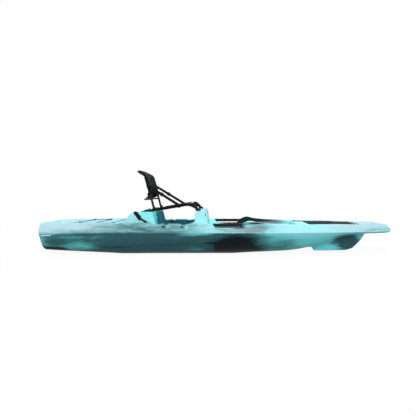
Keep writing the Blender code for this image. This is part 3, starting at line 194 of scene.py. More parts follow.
def unit(vector):
    return vector / np.linalg.norm(vector, axis=-1, keepdims=True)


# Points from their coordinates, spread to one shape
def xyz(x, y, z):
    return np.stack(np.broadcast_arrays(x, y, z), -1)


# Monotone cubic through knots: it never swings past them
def fair(knots, x):
    at, high = np.array(knots, float).T
    step = np.diff(at)
    slope = np.diff(high) / step
    lean = np.zeros_like(high)
    same = slope[:-1] * slope[1:] > 0
    lean[1:-1] = np.where(same, 2 * slope[:-1] * slope[1:] / np.where(same, slope[:-1] + slope[1:], 1.0), 0.0)
    lean[0], lean[-1] = slope[0], slope[-1]
    k = np.clip(np.searchsorted(at, x, side="right") - 1, 0, len(step) - 1)
    t = np.clip((x - at[k]) / step[k], 0.0, 1.0)
    rise = high[k] * (1 + 2 * t) * (1 - t) ** 2 + high[k + 1] * t**2 * (3 - 2 * t)
    return rise + step[k] * (lean[k] * t * (1 - t) ** 2 - lean[k + 1] * t**2 * (1 - t))


# Quads of a grid of points, which may close on itself along either side
def quads(rows, columns, closeRows=False, closeColumns=False):
    i, j = np.meshgrid(np.arange(rows if closeRows else rows - 1),
                       np.arange(columns if closeColumns else columns - 1), indexing="ij")
    nextRow, nextColumn = (i + 1) % rows, (j + 1) % columns
    corners = (i * columns + j, i * columns + nextColumn, nextRow * columns + nextColumn, nextRow * columns + j)
    return np.stack(corners, -1).reshape(-1, 4)


def rideOn(piece, body, paint, nodes=()):
    piece.data.materials.clear()
    piece.data.materials.append(paint.material)
    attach(piece, body)
    if nodes:
        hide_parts(*nodes)
    return piece


def addPiece(name, data):
    piece = bpy.data.objects.new(name, data)
    bpy.context.scene.collection.objects.link(piece)
    return piece


# Smooth shading, broken at edges sharper than an angle
def shadeSmooth(mesh, sharp):
    mesh.shade_smooth()
    if sharp < 180.0:
        mesh.set_sharp_from_angle(angle=math.radians(sharp))


# A mesh object from points and faces, merged at its poles, facing outwards
def buildMesh(name, points, faces, merge=1e-5, sharp=40.0):
    mesh = bpy.data.meshes.new(name)
    mesh.from_pydata(np.asarray(points, float).reshape(-1, 3).tolist(), [],
                     faces.tolist() if isinstance(faces, np.ndarray) else faces)
    form = bmesh.new()
    form.from_mesh(mesh)
    bmesh.ops.remove_doubles(form, verts=form.verts[:], dist=merge)
    bmesh.ops.dissolve_degenerate(form, edges=form.edges[:], dist=1e-7)
    bmesh.ops.recalc_face_normals(form, faces=form.faces[:])
    form.to_mesh(mesh)
    form.free()
    shadeSmooth(mesh, sharp)
    return addPiece(name, mesh)


# Bakes a piece's modifiers into its mesh
def settle(piece):
    view = bpy.context.evaluated_depsgraph_get()
    mesh = bpy.data.meshes.new_from_object(piece.evaluated_get(view))
    piece.modifiers.clear()
    piece.data = mesh


def readPoints(mesh):
    flat = np.zeros(len(mesh.vertices) * 3, np.float32)
    mesh.vertices.foreach_get("co", flat)
    return flat.reshape(-1, 3).astype(float)


def writePoints(mesh, points):
    mesh.vertices.foreach_set("co", points.astype(np.float32).ravel())
    mesh.update()


def writeAttribute(mesh, name, values):
    mesh.attributes.new(name, "FLOAT", "POINT").data.foreach_set("value", np.asarray(values, np.float32))


# A quadratic arc from start to end, drawn towards a corner
def arc(start, corner, end, t):
    return start * (1 - t) ** 2 + corner * 2 * t * (1 - t) + end * t**2


# Corners of a path rounded by arcs, the rest left straight
def rounded(points, radius):
    points = np.array(points, float)
    path = [points[:1]]
    t = column(0, 1, 9)
    for before, corner, after in zip(points, points[1:], points[2:]):
        back, ahead = before - corner, after - corner
        longBack, longAhead = np.linalg.norm(back), np.linalg.norm(ahead)
        back, ahead = back / longBack, ahead / longAhead
        turn = math.pi - math.acos(float(np.clip(back @ ahead, -1, 1)))
        reach = min(radius * math.tan(turn / 2), 0.45 * longBack, 0.45 * longAhead)
        path.append(arc(corner + back * reach, corner, corner + ahead * reach, t))
    path.append(points[-1:])
    return np.concatenate(path)


def lengths(path):
    return np.concatenate([[0], np.cumsum(np.linalg.norm(np.diff(path, axis=0), axis=1))])


# Points spread evenly along a path
def evenly(path, step):
    path = np.asarray(path, float)
    run = lengths(path)
    at = np.linspace(0, run[-1], max(3, int(run[-1] / step) + 1))
    return np.stack([np.interp(at, run, path[:, k]) for k in range(3)], -1)


# The two directions square to a path, for its rings
def sideways(along, up):
    along = unit(along)
    side = unit(np.cross(along, np.array(up, float)))
    return side, np.cross(side, along)


# A round tube: centre + radius (cos t side + sin t rise), ends drawn in to a soft point
def tube(name, path, radius, sides=20, up=(0, 0, 1), ends=0.35, flat=1.0):
    path = np.asarray(path, float)
    first, last = unit(path[0] - path[1]), unit(path[-1] - path[-2])
    cap = np.array([[1.0, 0.0], [0.85, 0.55], [0.4, 0.9]])
    head = path[0] + first * radius * ends * cap[:, :1]
    tail = path[-1] + last * radius * ends * cap[::-1, :1]
    size = np.concatenate([cap[:, 1], np.ones(len(path)), cap[::-1, 1]]) * radius
    path = np.concatenate([head, path, tail])
    along = np.gradient(path, axis=0)
    along[:3], along[-3:] = -first, last
    side, rise = sideways(along, up)
    t = turns(sides)
    ring = side[:, None] * np.cos(t)[None, :, None] + flat * rise[:, None] * np.sin(t)[None, :, None]
    return buildMesh(name, path[:, None] + size[:, None, None] * ring, quads(len(path), sides, False, True))


# A profile of (along, radius) pairs turned about an axis through a centre
def turned(name, profile, centre, axis, sides):
    profile = np.array(profile, float)
    t = turns(sides)
    first, second, along = profile[:, 1:] * np.cos(t), profile[:, 1:] * np.sin(t), profile[:, :1]
    order = {"x": (along, first, second), "y": (second, along, first), "z": (first, second, along)}[axis]
    points = xyz(*order) + np.array(centre, float)
    return buildMesh(name, points, quads(len(profile), sides, False, True), sharp=35.0)


# A closed sheet between two grids of points
def sheetBody(name, front, back, sharp=60.0):
    rows, columns = front.shape[:2]
    faces = quads(rows, 2 * columns, False, True).tolist()
    for row in (0, rows - 1):
        start = row * 2 * columns
        faces += [[start + k, start + k + 1, start + 2 * columns - 2 - k, start + 2 * columns - 1 - k]
                  for k in range(columns - 1)]
    return buildMesh(name, np.concatenate([front, back[:, ::-1]], axis=1), faces, sharp=sharp)


# A grid of points moved along its own normals, the cross products of its two gradients
def lifted(grid, low, high):
    normal = unit(np.cross(np.gradient(grid, axis=0), np.gradient(grid, axis=1)))
    return grid + normal * low, grid + normal * high


# A copy of a CAD node with its edges eased
def easedCopy(node, name, width):
    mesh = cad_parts[node].data.copy()
    form = bmesh.new()
    form.from_mesh(mesh)
    bmesh.ops.remove_doubles(form, verts=form.verts[:], dist=1e-5)
    bmesh.ops.dissolve_limit(form, angle_limit=math.radians(1.0), verts=form.verts[:], edges=form.edges[:])
    form.to_mesh(mesh)
    form.free()
    piece = addPiece(name, mesh)
    bevel = piece.modifiers.new("ease", "BEVEL")
    bevel.width, bevel.segments, bevel.limit_method = width, 2, "ANGLE"
    bevel.angle_limit = math.radians(30)
    settle(piece)
    shadeSmooth(piece.data, 40.0)
    return piece


# Room, light and camera

studio = {"floorSize": 30.0, "floorGrey": 0.30, "shadowShare": 0.06, "skyTop": 0.52, "skyLow": 0.44,
          "lamps": {"key": (0.85, 30.0, -14.0, 20.0), "fill": (1.20, 74.0, 12.0, 30.0),
                    "back": (0.70, 62.0, 180.0, 40.0)}}
view = {"place": (0.070, -4.55, 0.609), "lens": 38.39, "shift": (-0.0409, -0.0409)}


def makeRoom():
    scene = bpy.context.scene
    scene.view_settings.view_transform = "Standard"
    camera = addPiece("camera", bpy.data.cameras.new("camera"))
    camera.location = view["place"]
    camera.rotation_euler = (math.pi / 2, 0.0, 0.0)
    camera.data.lens, camera.data.sensor_width = view["lens"], 36.0
    camera.data.shift_x, camera.data.shift_y = view["shift"]
    scene.camera = camera
    for name, (strength, lean, turn, spread) in studio["lamps"].items():
        lamp = addPiece(name, bpy.data.lights.new(name, "SUN"))
        lamp.data.energy, lamp.data.angle = strength, math.radians(spread)
        lamp.rotation_euler = (math.radians(lean), 0.0, math.radians(turn))
    scene.world = bpy.data.worlds.new("world")
    scene.world.use_nodes = True
    sky = Graph(scene.world.node_tree)
    back = sky.tree.nodes["Background"]
    back.inputs["Color"].default_value = (1, 1, 1, 1)
    towards = sky.node("ShaderNodeTexCoord", output="Generated")
    height = sky.node("ShaderNodeSeparateXYZ", None, {0: towards}, "Z")
    glow = sky.between(height, -0.1, 0.9, studio["skyLow"], studio["skyTop"])
    seen = sky.seen()[0]
    sky.put(back.inputs["Strength"], seen + (1.0 - seen) * glow)


def makeFloor():
    half, level = studio["floorSize"] / 2, cadBox[0][2] - 0.0005
    corners = [(-half, -half, level), (half, -half, level), (half, half, level), (-half, half, level)]
    floor = buildMesh("floor", corners, [(0, 1, 2, 3)])
    paint = Paint("floorPaper", roughness=1.0, sheen=0.0)
    seen, camera = paint.seen()
    paint.feed("Base Color", paint.blend(camera, (studio["floorGrey"],) * 3, (1.0, 1.0, 1.0)))
    share, lit = seen * (1.0 - studio["shadowShare"]), Value(paint, paint.shader.outputs[0])
    mixed = paint.node("ShaderNodeMixShader", None, {0: share, 1: lit, 2: paint.node("ShaderNodeEmission")})
    paint.put(paint.tree.nodes["Material Output"].inputs["Surface"], mixed)
    floor.data.materials.append(paint.material)


makeRoom()
makeFloor()
print("room, lamps and camera made")


# Finishes

# Marbled polyethylene: aqua resin, and the streams drawn along the hull as (attribute, colour, stir, start, end)
# Its last layer, a dark deep teal, is painted shade inside the cockpit; the black layer before it holds painted shade
# as well as black marbling
resin = {"aqua": (0.42, 0.91, 0.97), "grain": 900.0, "speckle": 0.42, "streams": (1.1, 2.6, 8.5),
         "layers": (("low", (0.22, 0.93, 0.98), 0.0, 0.0, 1.0), ("pale", (0.49, 0.77, 0.85), 1.1, 0.25, 0.80),
                    ("teal", (0.042, 0.140, 0.160), 1.5, 0.12, 1.02), ("grey", (0.27, 0.37, 0.41), 1.9, 0.25, 0.95),
                    ("blackAndShade", (0.006, 0.012, 0.015), 1.9, 0.25, 1.05), ("cockpitShade", (0.017, 0.185, 0.235), 1.2, 0.12, 0.85))}


def makeResin():
    paint = Paint("marbledPolyethylene", sheen=0.06)
    run = paint.node("ShaderNodeMapping", None, {"Vector": paint.here, "Scale": resin["streams"]})
    wisps = paint.noise(1.5, 5.0, 0.55, run, 1.4) * 0.60 + paint.noise(5.0, 6.0, 0.62, run, 1.0) * 0.40 - 0.5
    speckle = (paint.noise(210.0, 2.0, 0.7) - 0.5) * resin["speckle"]
    base = resin["aqua"]
    for name, colour, stir, start, end in resin["layers"]:
        amount = paint.attribute(name)
        if stir:
            amount = amount + wisps * stir + speckle
        base = paint.blend(paint.between(amount, start, end), base, colour)
    paint.feed("Base Color", base)
    paint.feed("Roughness", paint.between(paint.noise(14.0, 3.0), 0.3, 0.7, 0.38, 0.50))
    paint.bump(paint.noise(resin["grain"], 2.0) * 0.5 + paint.noise(60.0, 3.0) * 0.5, 0.16, 0.0006)
    return paint


def makePlain(name, colour, roughness, metallic=0.0, wear=0.012):
    paint = Paint(name, metallic=metallic, sheen=0.14 if metallic < 0.5 else 0.5)
    shade = paint.between(paint.noise(35.0, 4.0, 0.6), 0.35, 0.75)
    paint.feed("Base Color", paint.blend(shade, colour, tuple(c + wear for c in colour)))
    paint.feed("Roughness", paint.between(paint.noise(60.0, 3.0), 0.3, 0.7, roughness - 0.06, roughness + 0.08))
    paint.bump(paint.noise(700.0, 2.0), 0.15, 0.0003)
    return paint


# Woven mesh cloth: two crossed sine waves along the piece's own warp and weft
def makeMesh(name, colour, light, pitch):
    paint = Paint(name, roughness=0.8, sheen=0.06)
    weave = paint.wave(paint.attribute("warp"), pitch) * paint.wave(paint.attribute("weft"), pitch)
    base = paint.blend(paint.between(paint.noise(18.0, 4.0), 0.3, 0.7) * 0.6, colour, light)
    base = paint.blend(paint.between(weave, -0.5, 0.5) * 0.5, base, tuple(c * 0.35 for c in colour))
    paint.feed("Base Color", base)
    paint.bump(weave, 0.5, pitch * 0.25)
    return paint


# Webbing: fine ribs across the band, and lines along it
def makeWebbing():
    paint = Paint("blackWebbing", roughness=0.72, sheen=0.08)
    ribs, lines = paint.wave(paint.attribute("weft"), 0.0022), paint.wave(paint.attribute("warp"), 0.0035)
    shade = paint.between(ribs + lines, -1.2, 1.4)
    paint.feed("Base Color", paint.blend(shade, (0.003, 0.004, 0.005), (0.012, 0.014, 0.016)))
    paint.bump(ribs + lines * 0.6, 0.6, 0.0004)
    return paint


# Elastic cord: a braid of two crossed spirals, from the length along it and the angle round it
def makeElastic():
    paint = Paint("elasticCord", roughness=0.7, sheen=0.08)
    run, turn = paint.attribute("run") * 125.0, paint.attribute("turn") * (3 / (2 * math.pi))
    braid = paint.wave(run + turn, 1.0) * paint.wave(run - turn, 1.0)
    paint.feed("Base Color", paint.blend(paint.between(braid, -0.5, 0.6), (0.006, 0.007, 0.008), (0.030, 0.033, 0.036)))
    paint.bump(braid, 0.4, 0.0005)
    return paint


resinPaint = makeResin()
tubePaint = makePlain("blackAnodisedTube", (0.004, 0.006, 0.007), 0.34, 0.3, wear=0.008)
nylonPaint = makePlain("blackNylon", (0.005, 0.007, 0.008), 0.50, wear=0.007)
steelPaint = makePlain("stainlessSteel", (0.50, 0.50, 0.50), 0.28, 1.0, wear=0.06)
# A painted highlight for the lower ledges of the stern slots
slotHighlightPaint = makePlain("paleSlotHighlight", (0.80, 0.84, 0.86), 0.45, wear=0.04)
rubberPaint = makePlain("blackRubber", (0.008, 0.008, 0.008), 0.85)
meshPaint = makeMesh("blackMesh", (0.004, 0.008, 0.010), (0.010, 0.018, 0.021), 0.0032)
coverPaint = makeMesh("coverMesh", (0.006, 0.007, 0.008), (0.018, 0.020, 0.023), 0.0070)
padPaint = makeMesh("padCloth", (0.005, 0.008, 0.010), (0.013, 0.018, 0.021), 0.0020)
webPaint = makeWebbing()
cordPaint = makeElastic()
print("finishes made")


# The hull: one skin of rings across the boat, from the keel up the side and over the deck

hull = {
    "length": 3.506, "beam": 0.889, "edge": 0.400, "flat": 0.140, "sternCorner": 0.045, "bowCorner": 0.085,
    "stations": 408,
    "plan": ((-1.753, 0.300), (-1.5, 0.345), (-1.15, 0.398), (-0.76, 0.4445), (0.26, 0.4445), (0.62, 0.42),
             (1.0, 0.358), (1.4, 0.262), (1.6, 0.192), (1.753, 0.128)),
    "rim": ((-1.753, 0.302), (-1.5, 0.305), (-1.25, 0.303), (-1.19, 0.308), (-1.05, 0.309), (-0.95, 0.303),
            (-0.903, 0.314), (-0.856, 0.352), (-0.8, 0.408), (-0.781, 0.413), (-0.744, 0.372), (-0.674, 0.321),
            (-0.613, 0.302), (-0.56, 0.291), (-0.53, 0.299), (-0.515, 0.299), (-0.492, 0.288), (-0.465, 0.299),
            (-0.36, 0.299), (-0.332, 0.288), (-0.305, 0.292), (-0.25, 0.304), (-0.213, 0.318), (-0.128, 0.316),
            (-0.085, 0.299), (-0.05, 0.298), (-0.013, 0.262), (0.191, 0.262), (0.235, 0.298), (0.275, 0.320),
            (0.304, 0.327), (0.39, 0.310), (0.54, 0.297), (0.65, 0.294), (0.7, 0.291), (1.14, 0.290), (1.25, 0.287),
            (1.38, 0.2845), (1.61, 0.2835), (1.753, 0.272)),
    "bottom": ((-1.753, 0.034), (-1.6, 0.029), (-1.3, 0.017), (-1.0, 0.004), (-0.9, 0.0), (0.12, 0.0), (0.315, 0.010),
               (0.658, 0.024), (0.805, 0.040), (0.894, 0.059), (1.06, 0.100), (1.217, 0.150), (1.38, 0.175),
               (1.5, 0.184), (1.753, 0.187)),
    "keel": ((-1.753, 0.034), (-1.6, 0.029), (-1.3, 0.017), (-1.0, 0.004), (-0.9, 0.0), (0.12, 0.0), (0.66, 0.013),
             (0.9, 0.035), (0.951, 0.038), (0.985, 0.0), (1.283, 0.004), (1.358, 0.021), (1.421, 0.074), (1.47, 0.130),
             (1.501, 0.176), (1.53, 0.184), (1.753, 0.187)),
    "knuckle": ((-1.753, 0.208), (0.0, 0.218), (1.753, 0.210)),
    "power": ((-1.753, 6.0), (-1.2, 4.4), (-0.5, 3.3), (0.7, 2.9), (1.753, 2.6)),
    "sternRake": ((0.034, 0.042), (0.067, 0.027), (0.102, 0.020), (0.163, 0.009), (0.21, 0.0), (0.272, 0.005),
                  (0.302, 0.018)),
    "bowRake": ((0.184, 0.028), (0.195, 0.006), (0.213, 0.0), (0.24, 0.012), (0.272, 0.044)),
    "bowFloor": ((0.935, 0.150), (1.06, 0.150), (1.363, 0.210)),
    "ovalLow": ((-1.20, 0.080), (-0.95, 0.083), (-0.60, 0.116), (-0.36, 0.155)),
    "ovalHigh": ((-1.20, 0.100), (-0.95, 0.170), (-0.60, 0.188), (-0.36, 0.165)),
    "streak": ((-1.15, 0.075), (-0.95, 0.078), (-0.72, 0.086), (-0.50, 0.100), (-0.38, 0.116), (-0.20, 0.127)),
    # Wells: aft end, fore end, wall, outer edge of the rim, outer edge of the floor, floor level
    "wells": ((-0.64, 0.79, 0.034, 0.347, 0.322, 0.215), (-0.90, -0.50, 0.026, 0.207, 0.183, 0.200),
              (-0.56, 0.76, 0.028, 0.264, 0.238, 0.130), (-1.46, -0.99, 0.028, 0.264, 0.234, 0.165),
              (0.935, 1.363, 0.028, 0.284, 0.254, "bowFloor")),
    "shelf": 0.215, "footwell": 0.130, "blockTop": 0.393, "blockFoot": 0.309, "pedestalTop": 0.418,
    "stepStart": 0.320, "stepPitch": 0.085, "stepRise": 0.050, "pockets": (-1.625, 1.595),
    "marks": (-1.753, -1.46, -0.99, -0.92, -0.85, -0.78, -0.64, -0.61, -0.56, -0.50, -0.33, -0.215, -0.13, -0.05, -0.01,
              0.19, 0.235, 0.32, 0.405, 0.49, 0.575, 0.66, 0.76, 0.79, 0.935, 0.985, 1.36, 1.51, 1.753),
    "rows": (0.012, 0.10, 0.185, 0.20, 0.24, 0.262, 0.286, 0.335, 0.350, 0.363, 0.395),
    "scuppers": ((-0.4, 0.15), (0.18, 0.15), (-1.22, 0.14)), "plug": (-1.753, 0, 0.235),
}
halfBeam, halfLength = hull["beam"] / 2, hull["length"] / 2


# A named line of the hull, at x
def line(name, x):
    return fair(hull[name], x)


def halfBreadth(x):
    aft = np.clip(1.0 - (x + halfLength) / hull["sternCorner"], 0.0, 1.0)
    fore = np.clip(1.0 - (halfLength - x) / hull["bowCorner"], 0.0, 1.0)
    return line("plan", x) * np.sqrt(1 - aft**2) * np.sqrt(1 - fore**2)


# The side leans in from the knuckle to the deck's edge: its y at a share of its height
def sideY(breadth, edge, share):
    return breadth + (edge - breadth) * (0.84 * share + 0.16 * share**3)


# How far the two tunnels beside the keel fin rise above the bottom
def tunnelRise(x):
    return 0.022 * ramp(x, 0.985, 1.15) * ramp(-x, -1.53, -1.42)


# 1 on the floor of a well, 0 at its rim, with soft walls
def well(x, n, aft, fore, wall, top, foot):
    return span(x, aft - 0.004, aft + wall, fore - wall, fore + 0.004) * fall(n, foot, top + 0.003)


# Deck level at a station and at n, the half-breadth that the place has at full beam
def deck(x, n):
    rim, shelf, footwell = line("rim", x), hull["shelf"], hull["footwell"]
    calm = np.minimum(rim, 0.302) - 0.006
    z = rim + (calm - rim) * fall(n, 0.322, 0.349)
    atBow = np.minimum(soft(x, 0.765, 0.810), 1 - soft(x, 1.415, 1.505))
    z = z + (rim - 0.014 * fall(n, 0.356, 0.370) - z) * atBow
    z = z - 0.008 * ramp(n, 0.382, 0.400) ** 2
    for *place, floor in hull["wells"]:
        z = z + ((line(floor, x) if isinstance(floor, str) else floor) - z) * well(x, n, *place)

    phase = (x - hull["stepStart"]) / hull["stepPitch"]  # four foot steps
    tooth = np.where((phase > 0) & (phase < 4), 1.0 - phase % 1.0, 0.0)
    step = np.maximum(footwell + hull["stepRise"] * tooth - z, 0.0)
    z = z + step * span(n, 0.194, 0.204, 0.236, 0.244) * (tooth > 0)

    top = hull["blockTop"] + 0.018 * soft(n, 0.284, 0.322)  # seat blocks
    rise, drop = soft(x, -0.928, -0.787), soft(-x - 0.030 * fall(n, 0.210, 0.345), 0.540, 0.626) ** 1.6
    block = np.where(x < -0.73, hull["blockFoot"] + (top - hull["blockFoot"]) * rise, shelf + (top - shelf) * drop)
    z = z + np.maximum(block - z, 0.0) * span(n, 0.196, 0.206, 0.352, 0.368) * ((x > -0.93) & (x < -0.455))

    ends = np.minimum(fall(x, -0.130, -0.098), soft(x, -0.219, -0.209))  # seat pedestals
    z = z + np.maximum(hull["pedestalTop"] - z, 0.0) * span(n, 0.234, 0.242, 0.346, 0.356) * ends

    for place in hull["pockets"]:  # finger pockets at both ends
        away = np.hypot(np.maximum(np.abs(n * halfBreadth(x) / halfBeam) - 0.036, 0.0), x - place)
        z = z - 0.045 * fall(away, 0.0165, 0.0205)
    return z


def raked(x, z):
    aft, fore = ramp(-x, halfLength - 0.240, halfLength), ramp(x, halfLength - 0.240, halfLength)
    sternBack = line("sternRake", np.clip(z, 0.034, 0.302))
    return x + aft * sternBack - fore * line("bowRake", np.clip(z, 0.184, 0.272))


# Values packed closer near the marks
def packed(low, high, count, marks, width, pull):
    x = np.linspace(low, high, 6000)
    density = 1.0 + pull * bell(x[:, None] - np.array(marks), width).sum(1)
    total = np.concatenate([[0], np.cumsum((density[1:] + density[:-1]) / 2)])
    return np.interp(np.linspace(0, total[-1], count), total, x)


# Shares of the bilge's breadth, spread evenly along the curve y = s, z = s to the power of 3.3
def bilgeShares(count):
    s = np.linspace(0, 1, 4000)
    run = np.concatenate([[0], np.cumsum(np.hypot(0.45 * np.diff(s), np.diff(s**3.3)))])
    return np.interp(np.linspace(0, run[-1], count), run, s)


# Rings of points across the boat, each part a pair of grids (y, z) from the keel to the middle of the deck
def hullSkin():
    x = packed(-halfLength, halfLength, hull["stations"], hull["marks"], 0.016, 2.0)[:, None]
    breadth = np.maximum(halfBreadth(x), 1e-6)
    scale = breadth / halfBeam
    bottom, keel, knuckle = (line(name, x) for name in ("bottom", "keel", "knuckle"))
    flat, edge = hull["flat"] * scale, hull["edge"] * scale
    tunnel = bottom + tunnelRise(x)
    fin = np.minimum(0.024, flat * 0.3)
    t = np.linspace(0, 1, 5)[None, :-1]
    foot = (fin * np.sin(t * np.pi / 2), keel + (tunnel - keel) * 0.04 * (1 - np.cos(t * np.pi / 2)))
    finSide = (fin * (1 + 0.25 * t), keel + (tunnel - keel) * (0.04 + 0.96 * t))
    u = np.linspace(0, 1, 7)[None, :-1]
    floorLine = (fin * 1.25 + (flat - fin * 1.25) * u, tunnel + (bottom - tunnel) * soft(u, 0.35, 1.0))
    s = bilgeShares(30)[None, :]
    y, z = flat + (breadth - flat) * s, bottom + (knuckle - bottom) * s ** line("power", x)
    oval = soft(z - line("ovalLow", x), -0.004, 0.005) * soft(line("ovalHigh", x) - z, -0.02, 0.02)
    bilge = (y + 0.004 * (oval * soft(x, -1.20, -1.10) * fall(x, -0.46, -0.36)), z)
    rim = deck(x, hull["edge"])
    v = np.linspace(0, 1, 15)[None, 1:-1] ** 0.9
    z = knuckle + 0.0015 + (rim - knuckle - 0.0015) * (1.07 * v - 0.07 * v**3)
    wall = (sideY(breadth, edge, v) - 0.005 * (bell(rim - 0.013 - z, 0.004) * span(x, 0.27, 0.31, 0.50, 0.56)), z)
    n = packed(0.0, hull["edge"], 60, hull["rows"], 0.008, 2.5)[::-1][None, :]
    closing = np.maximum(ramp(-x, halfLength - hull["sternCorner"], halfLength),
                         ramp(x, halfLength - hull["bowCorner"], halfLength))
    crown = rim + np.where(x < 0, 0.002, 0.008) * (1 - n / hull["edge"])
    z = deck(x, n)
    parts = (foot, finSide, floorLine, bilge, wall, (n * scale, z + (crown - z) * closing))
    y, z = (np.concatenate([part[k] + 0 * x for part in parts], axis=1) for k in (0, 1))
    points = xyz(raked(x, z), -y, z)
    return np.concatenate([points, points[:, -2:0:-1] * mirror], axis=1)


# Where each pigment runs: soft round patches (x, z, reach along, reach up, strength) in the three zones of the hull
patches = {
    "pale": {"low": ((-1.64, 0.19, 0.12, 0.03, 0.7),),
             "band": ((-1.5, 0.27, 0.55, 0.12, 1.05), (1.35, 0.27, 0.36, 0.1, 0.95), (0.6, 0.25, 0.12, 0.04, 0.5),
                      # The patches at x -0.466 and -0.289 are painted highlights on the gunwale notches beside the
                      # studs
                      (-0.55, 0.24, 0.4, 0.06, 0.45), (-0.466, 0.276, 0.009, 0.012, 0.5),
                      (-0.289, 0.269, 0.009, 0.01, 0.5)),
             "deck": ((-1.35, 0.29, 0.45, 0.06, 0.8), (1.5, 0.27, 0.25, 0.06, 0.8))},
    "teal": {"low": ((-0.75, 0.12, 1.0, 0.5, 1.18), (0.15, 0.12, 0.36, 0.5, 0.9), (0.66, 0.1, 0.13, 0.08, 0.3),
                     (-1.24, 0.085, 0.13, 0.04, -0.42), (-1.38, 0.15, 0.1, 0.05, -0.15), (-1.58, 0.12, 0.12, 0.05, 0.5),
                     (-0.18, 0.213, 0.22, 0.022, -0.72), (-0.2, 0.055, 0.14, 0.035, -0.45),
                     (0.5, 0.215, 0.12, 0.02, -0.3), (1.32, 0.1, 0.14, 0.08, 1.2), (1.36, 0.05, 0.11, 0.06, 0.9),
                     (-1.34, 0.197, 0.14, 0.018, 0.3), (1.24, 0.16, 0.12, 0.03, 0.9), (1.17, 0.085, 0.06, 0.02, 0.5)),
             "band": ((-0.65, 0.25, 0.46, 0.15, 0.72), (-1.05, 0.25, 0.2, 0.06, 0.12), (-1.35, 0.22, 0.42, 0.03, 0.5),
                      (-0.22, 0.24, 0.26, 0.06, 0.36), (0.06, 0.24, 0.1, 0.05, 0.35), (0.4, 0.26, 0.18, 0.07, 0.72),
                      # The negative patches at x -0.466 and -0.289 take teal out of the painted highlights beside the
                      # studs
                      (1.62, 0.23, 0.22, 0.04, 0.42), (-0.466, 0.276, 0.01, 0.014, -0.4),
                      (-0.289, 0.269, 0.01, 0.012, -0.4)),
             # The first deck patch is painted shade on the walls inside the cockpit, between the seat blocks and the
             # pedestals
             "deck": ((-0.38, 0.235, 0.26, 0.045, 1.1), (0.45, 0.24, 0.34, 0.05, 0.7), (0.0, 0.15, 1.2, 0.04, 0.4),
                      (0.58, 0.295, 0.22, 0.03, 0.5))},
    "grey": {"low": ((1.34, 0.125, 0.05, 0.025, 0.6), (1.16, 0.175, 0.1, 0.012, 0.6)),
             "band": ((0.1, 0.232, 0.14, 0.02, 0.85), (0.32, 0.238, 0.13, 0.035, 0.85), (0.46, 0.245, 0.13, 0.03, 0.45),
                      (1.55, 0.225, 0.22, 0.025, 0.45)),
             "deck": ((0.66, 0.295, 0.05, 0.02, 0.6), (0.42, 0.3, 0.22, 0.04, 0.75), (0.62, 0.27, 0.16, 0.03, 0.85))},
    "blackAndShade": {"low": ((0.17, 0.085, 0.22, 0.14, 1.42), (0.36, 0.03, 0.12, 0.035, 0.6), (-0.06, 0.12, 0.1, 0.03, 0.3),
                     (-1.57, 0.03, 0.19, 0.065, 1.3), (1.25, 0.15, 0.1, 0.02, 0.5), (1.34, 0.08, 0.09, 0.06, 0.65)),
             # The second band patch is painted shade in the shoulder groove along the gunwale
             "band": ((0.195, 0.28, 0.08, 0.04, 1.05), (0.37, 0.304, 0.14, 0.013, 0.95)),
             "deck": ((0.3, 0.3, 0.18, 0.04, 1.0), (0.48, 0.305, 0.14, 0.02, 0.5), (0.13, 0.25, 0.17, 0.035, 1.0),
                      (0.62, 0.272, 0.12, 0.03, 0.62), (0.4, 0.305, 0.2, 0.035, 0.55))},
}


def patchSum(places, x, z):
    return sum(strength * np.exp(-(((x - atX) / reachX) ** 2) - ((z - atZ) / reachZ) ** 2)
               for atX, atZ, reachX, reachZ, strength in places)


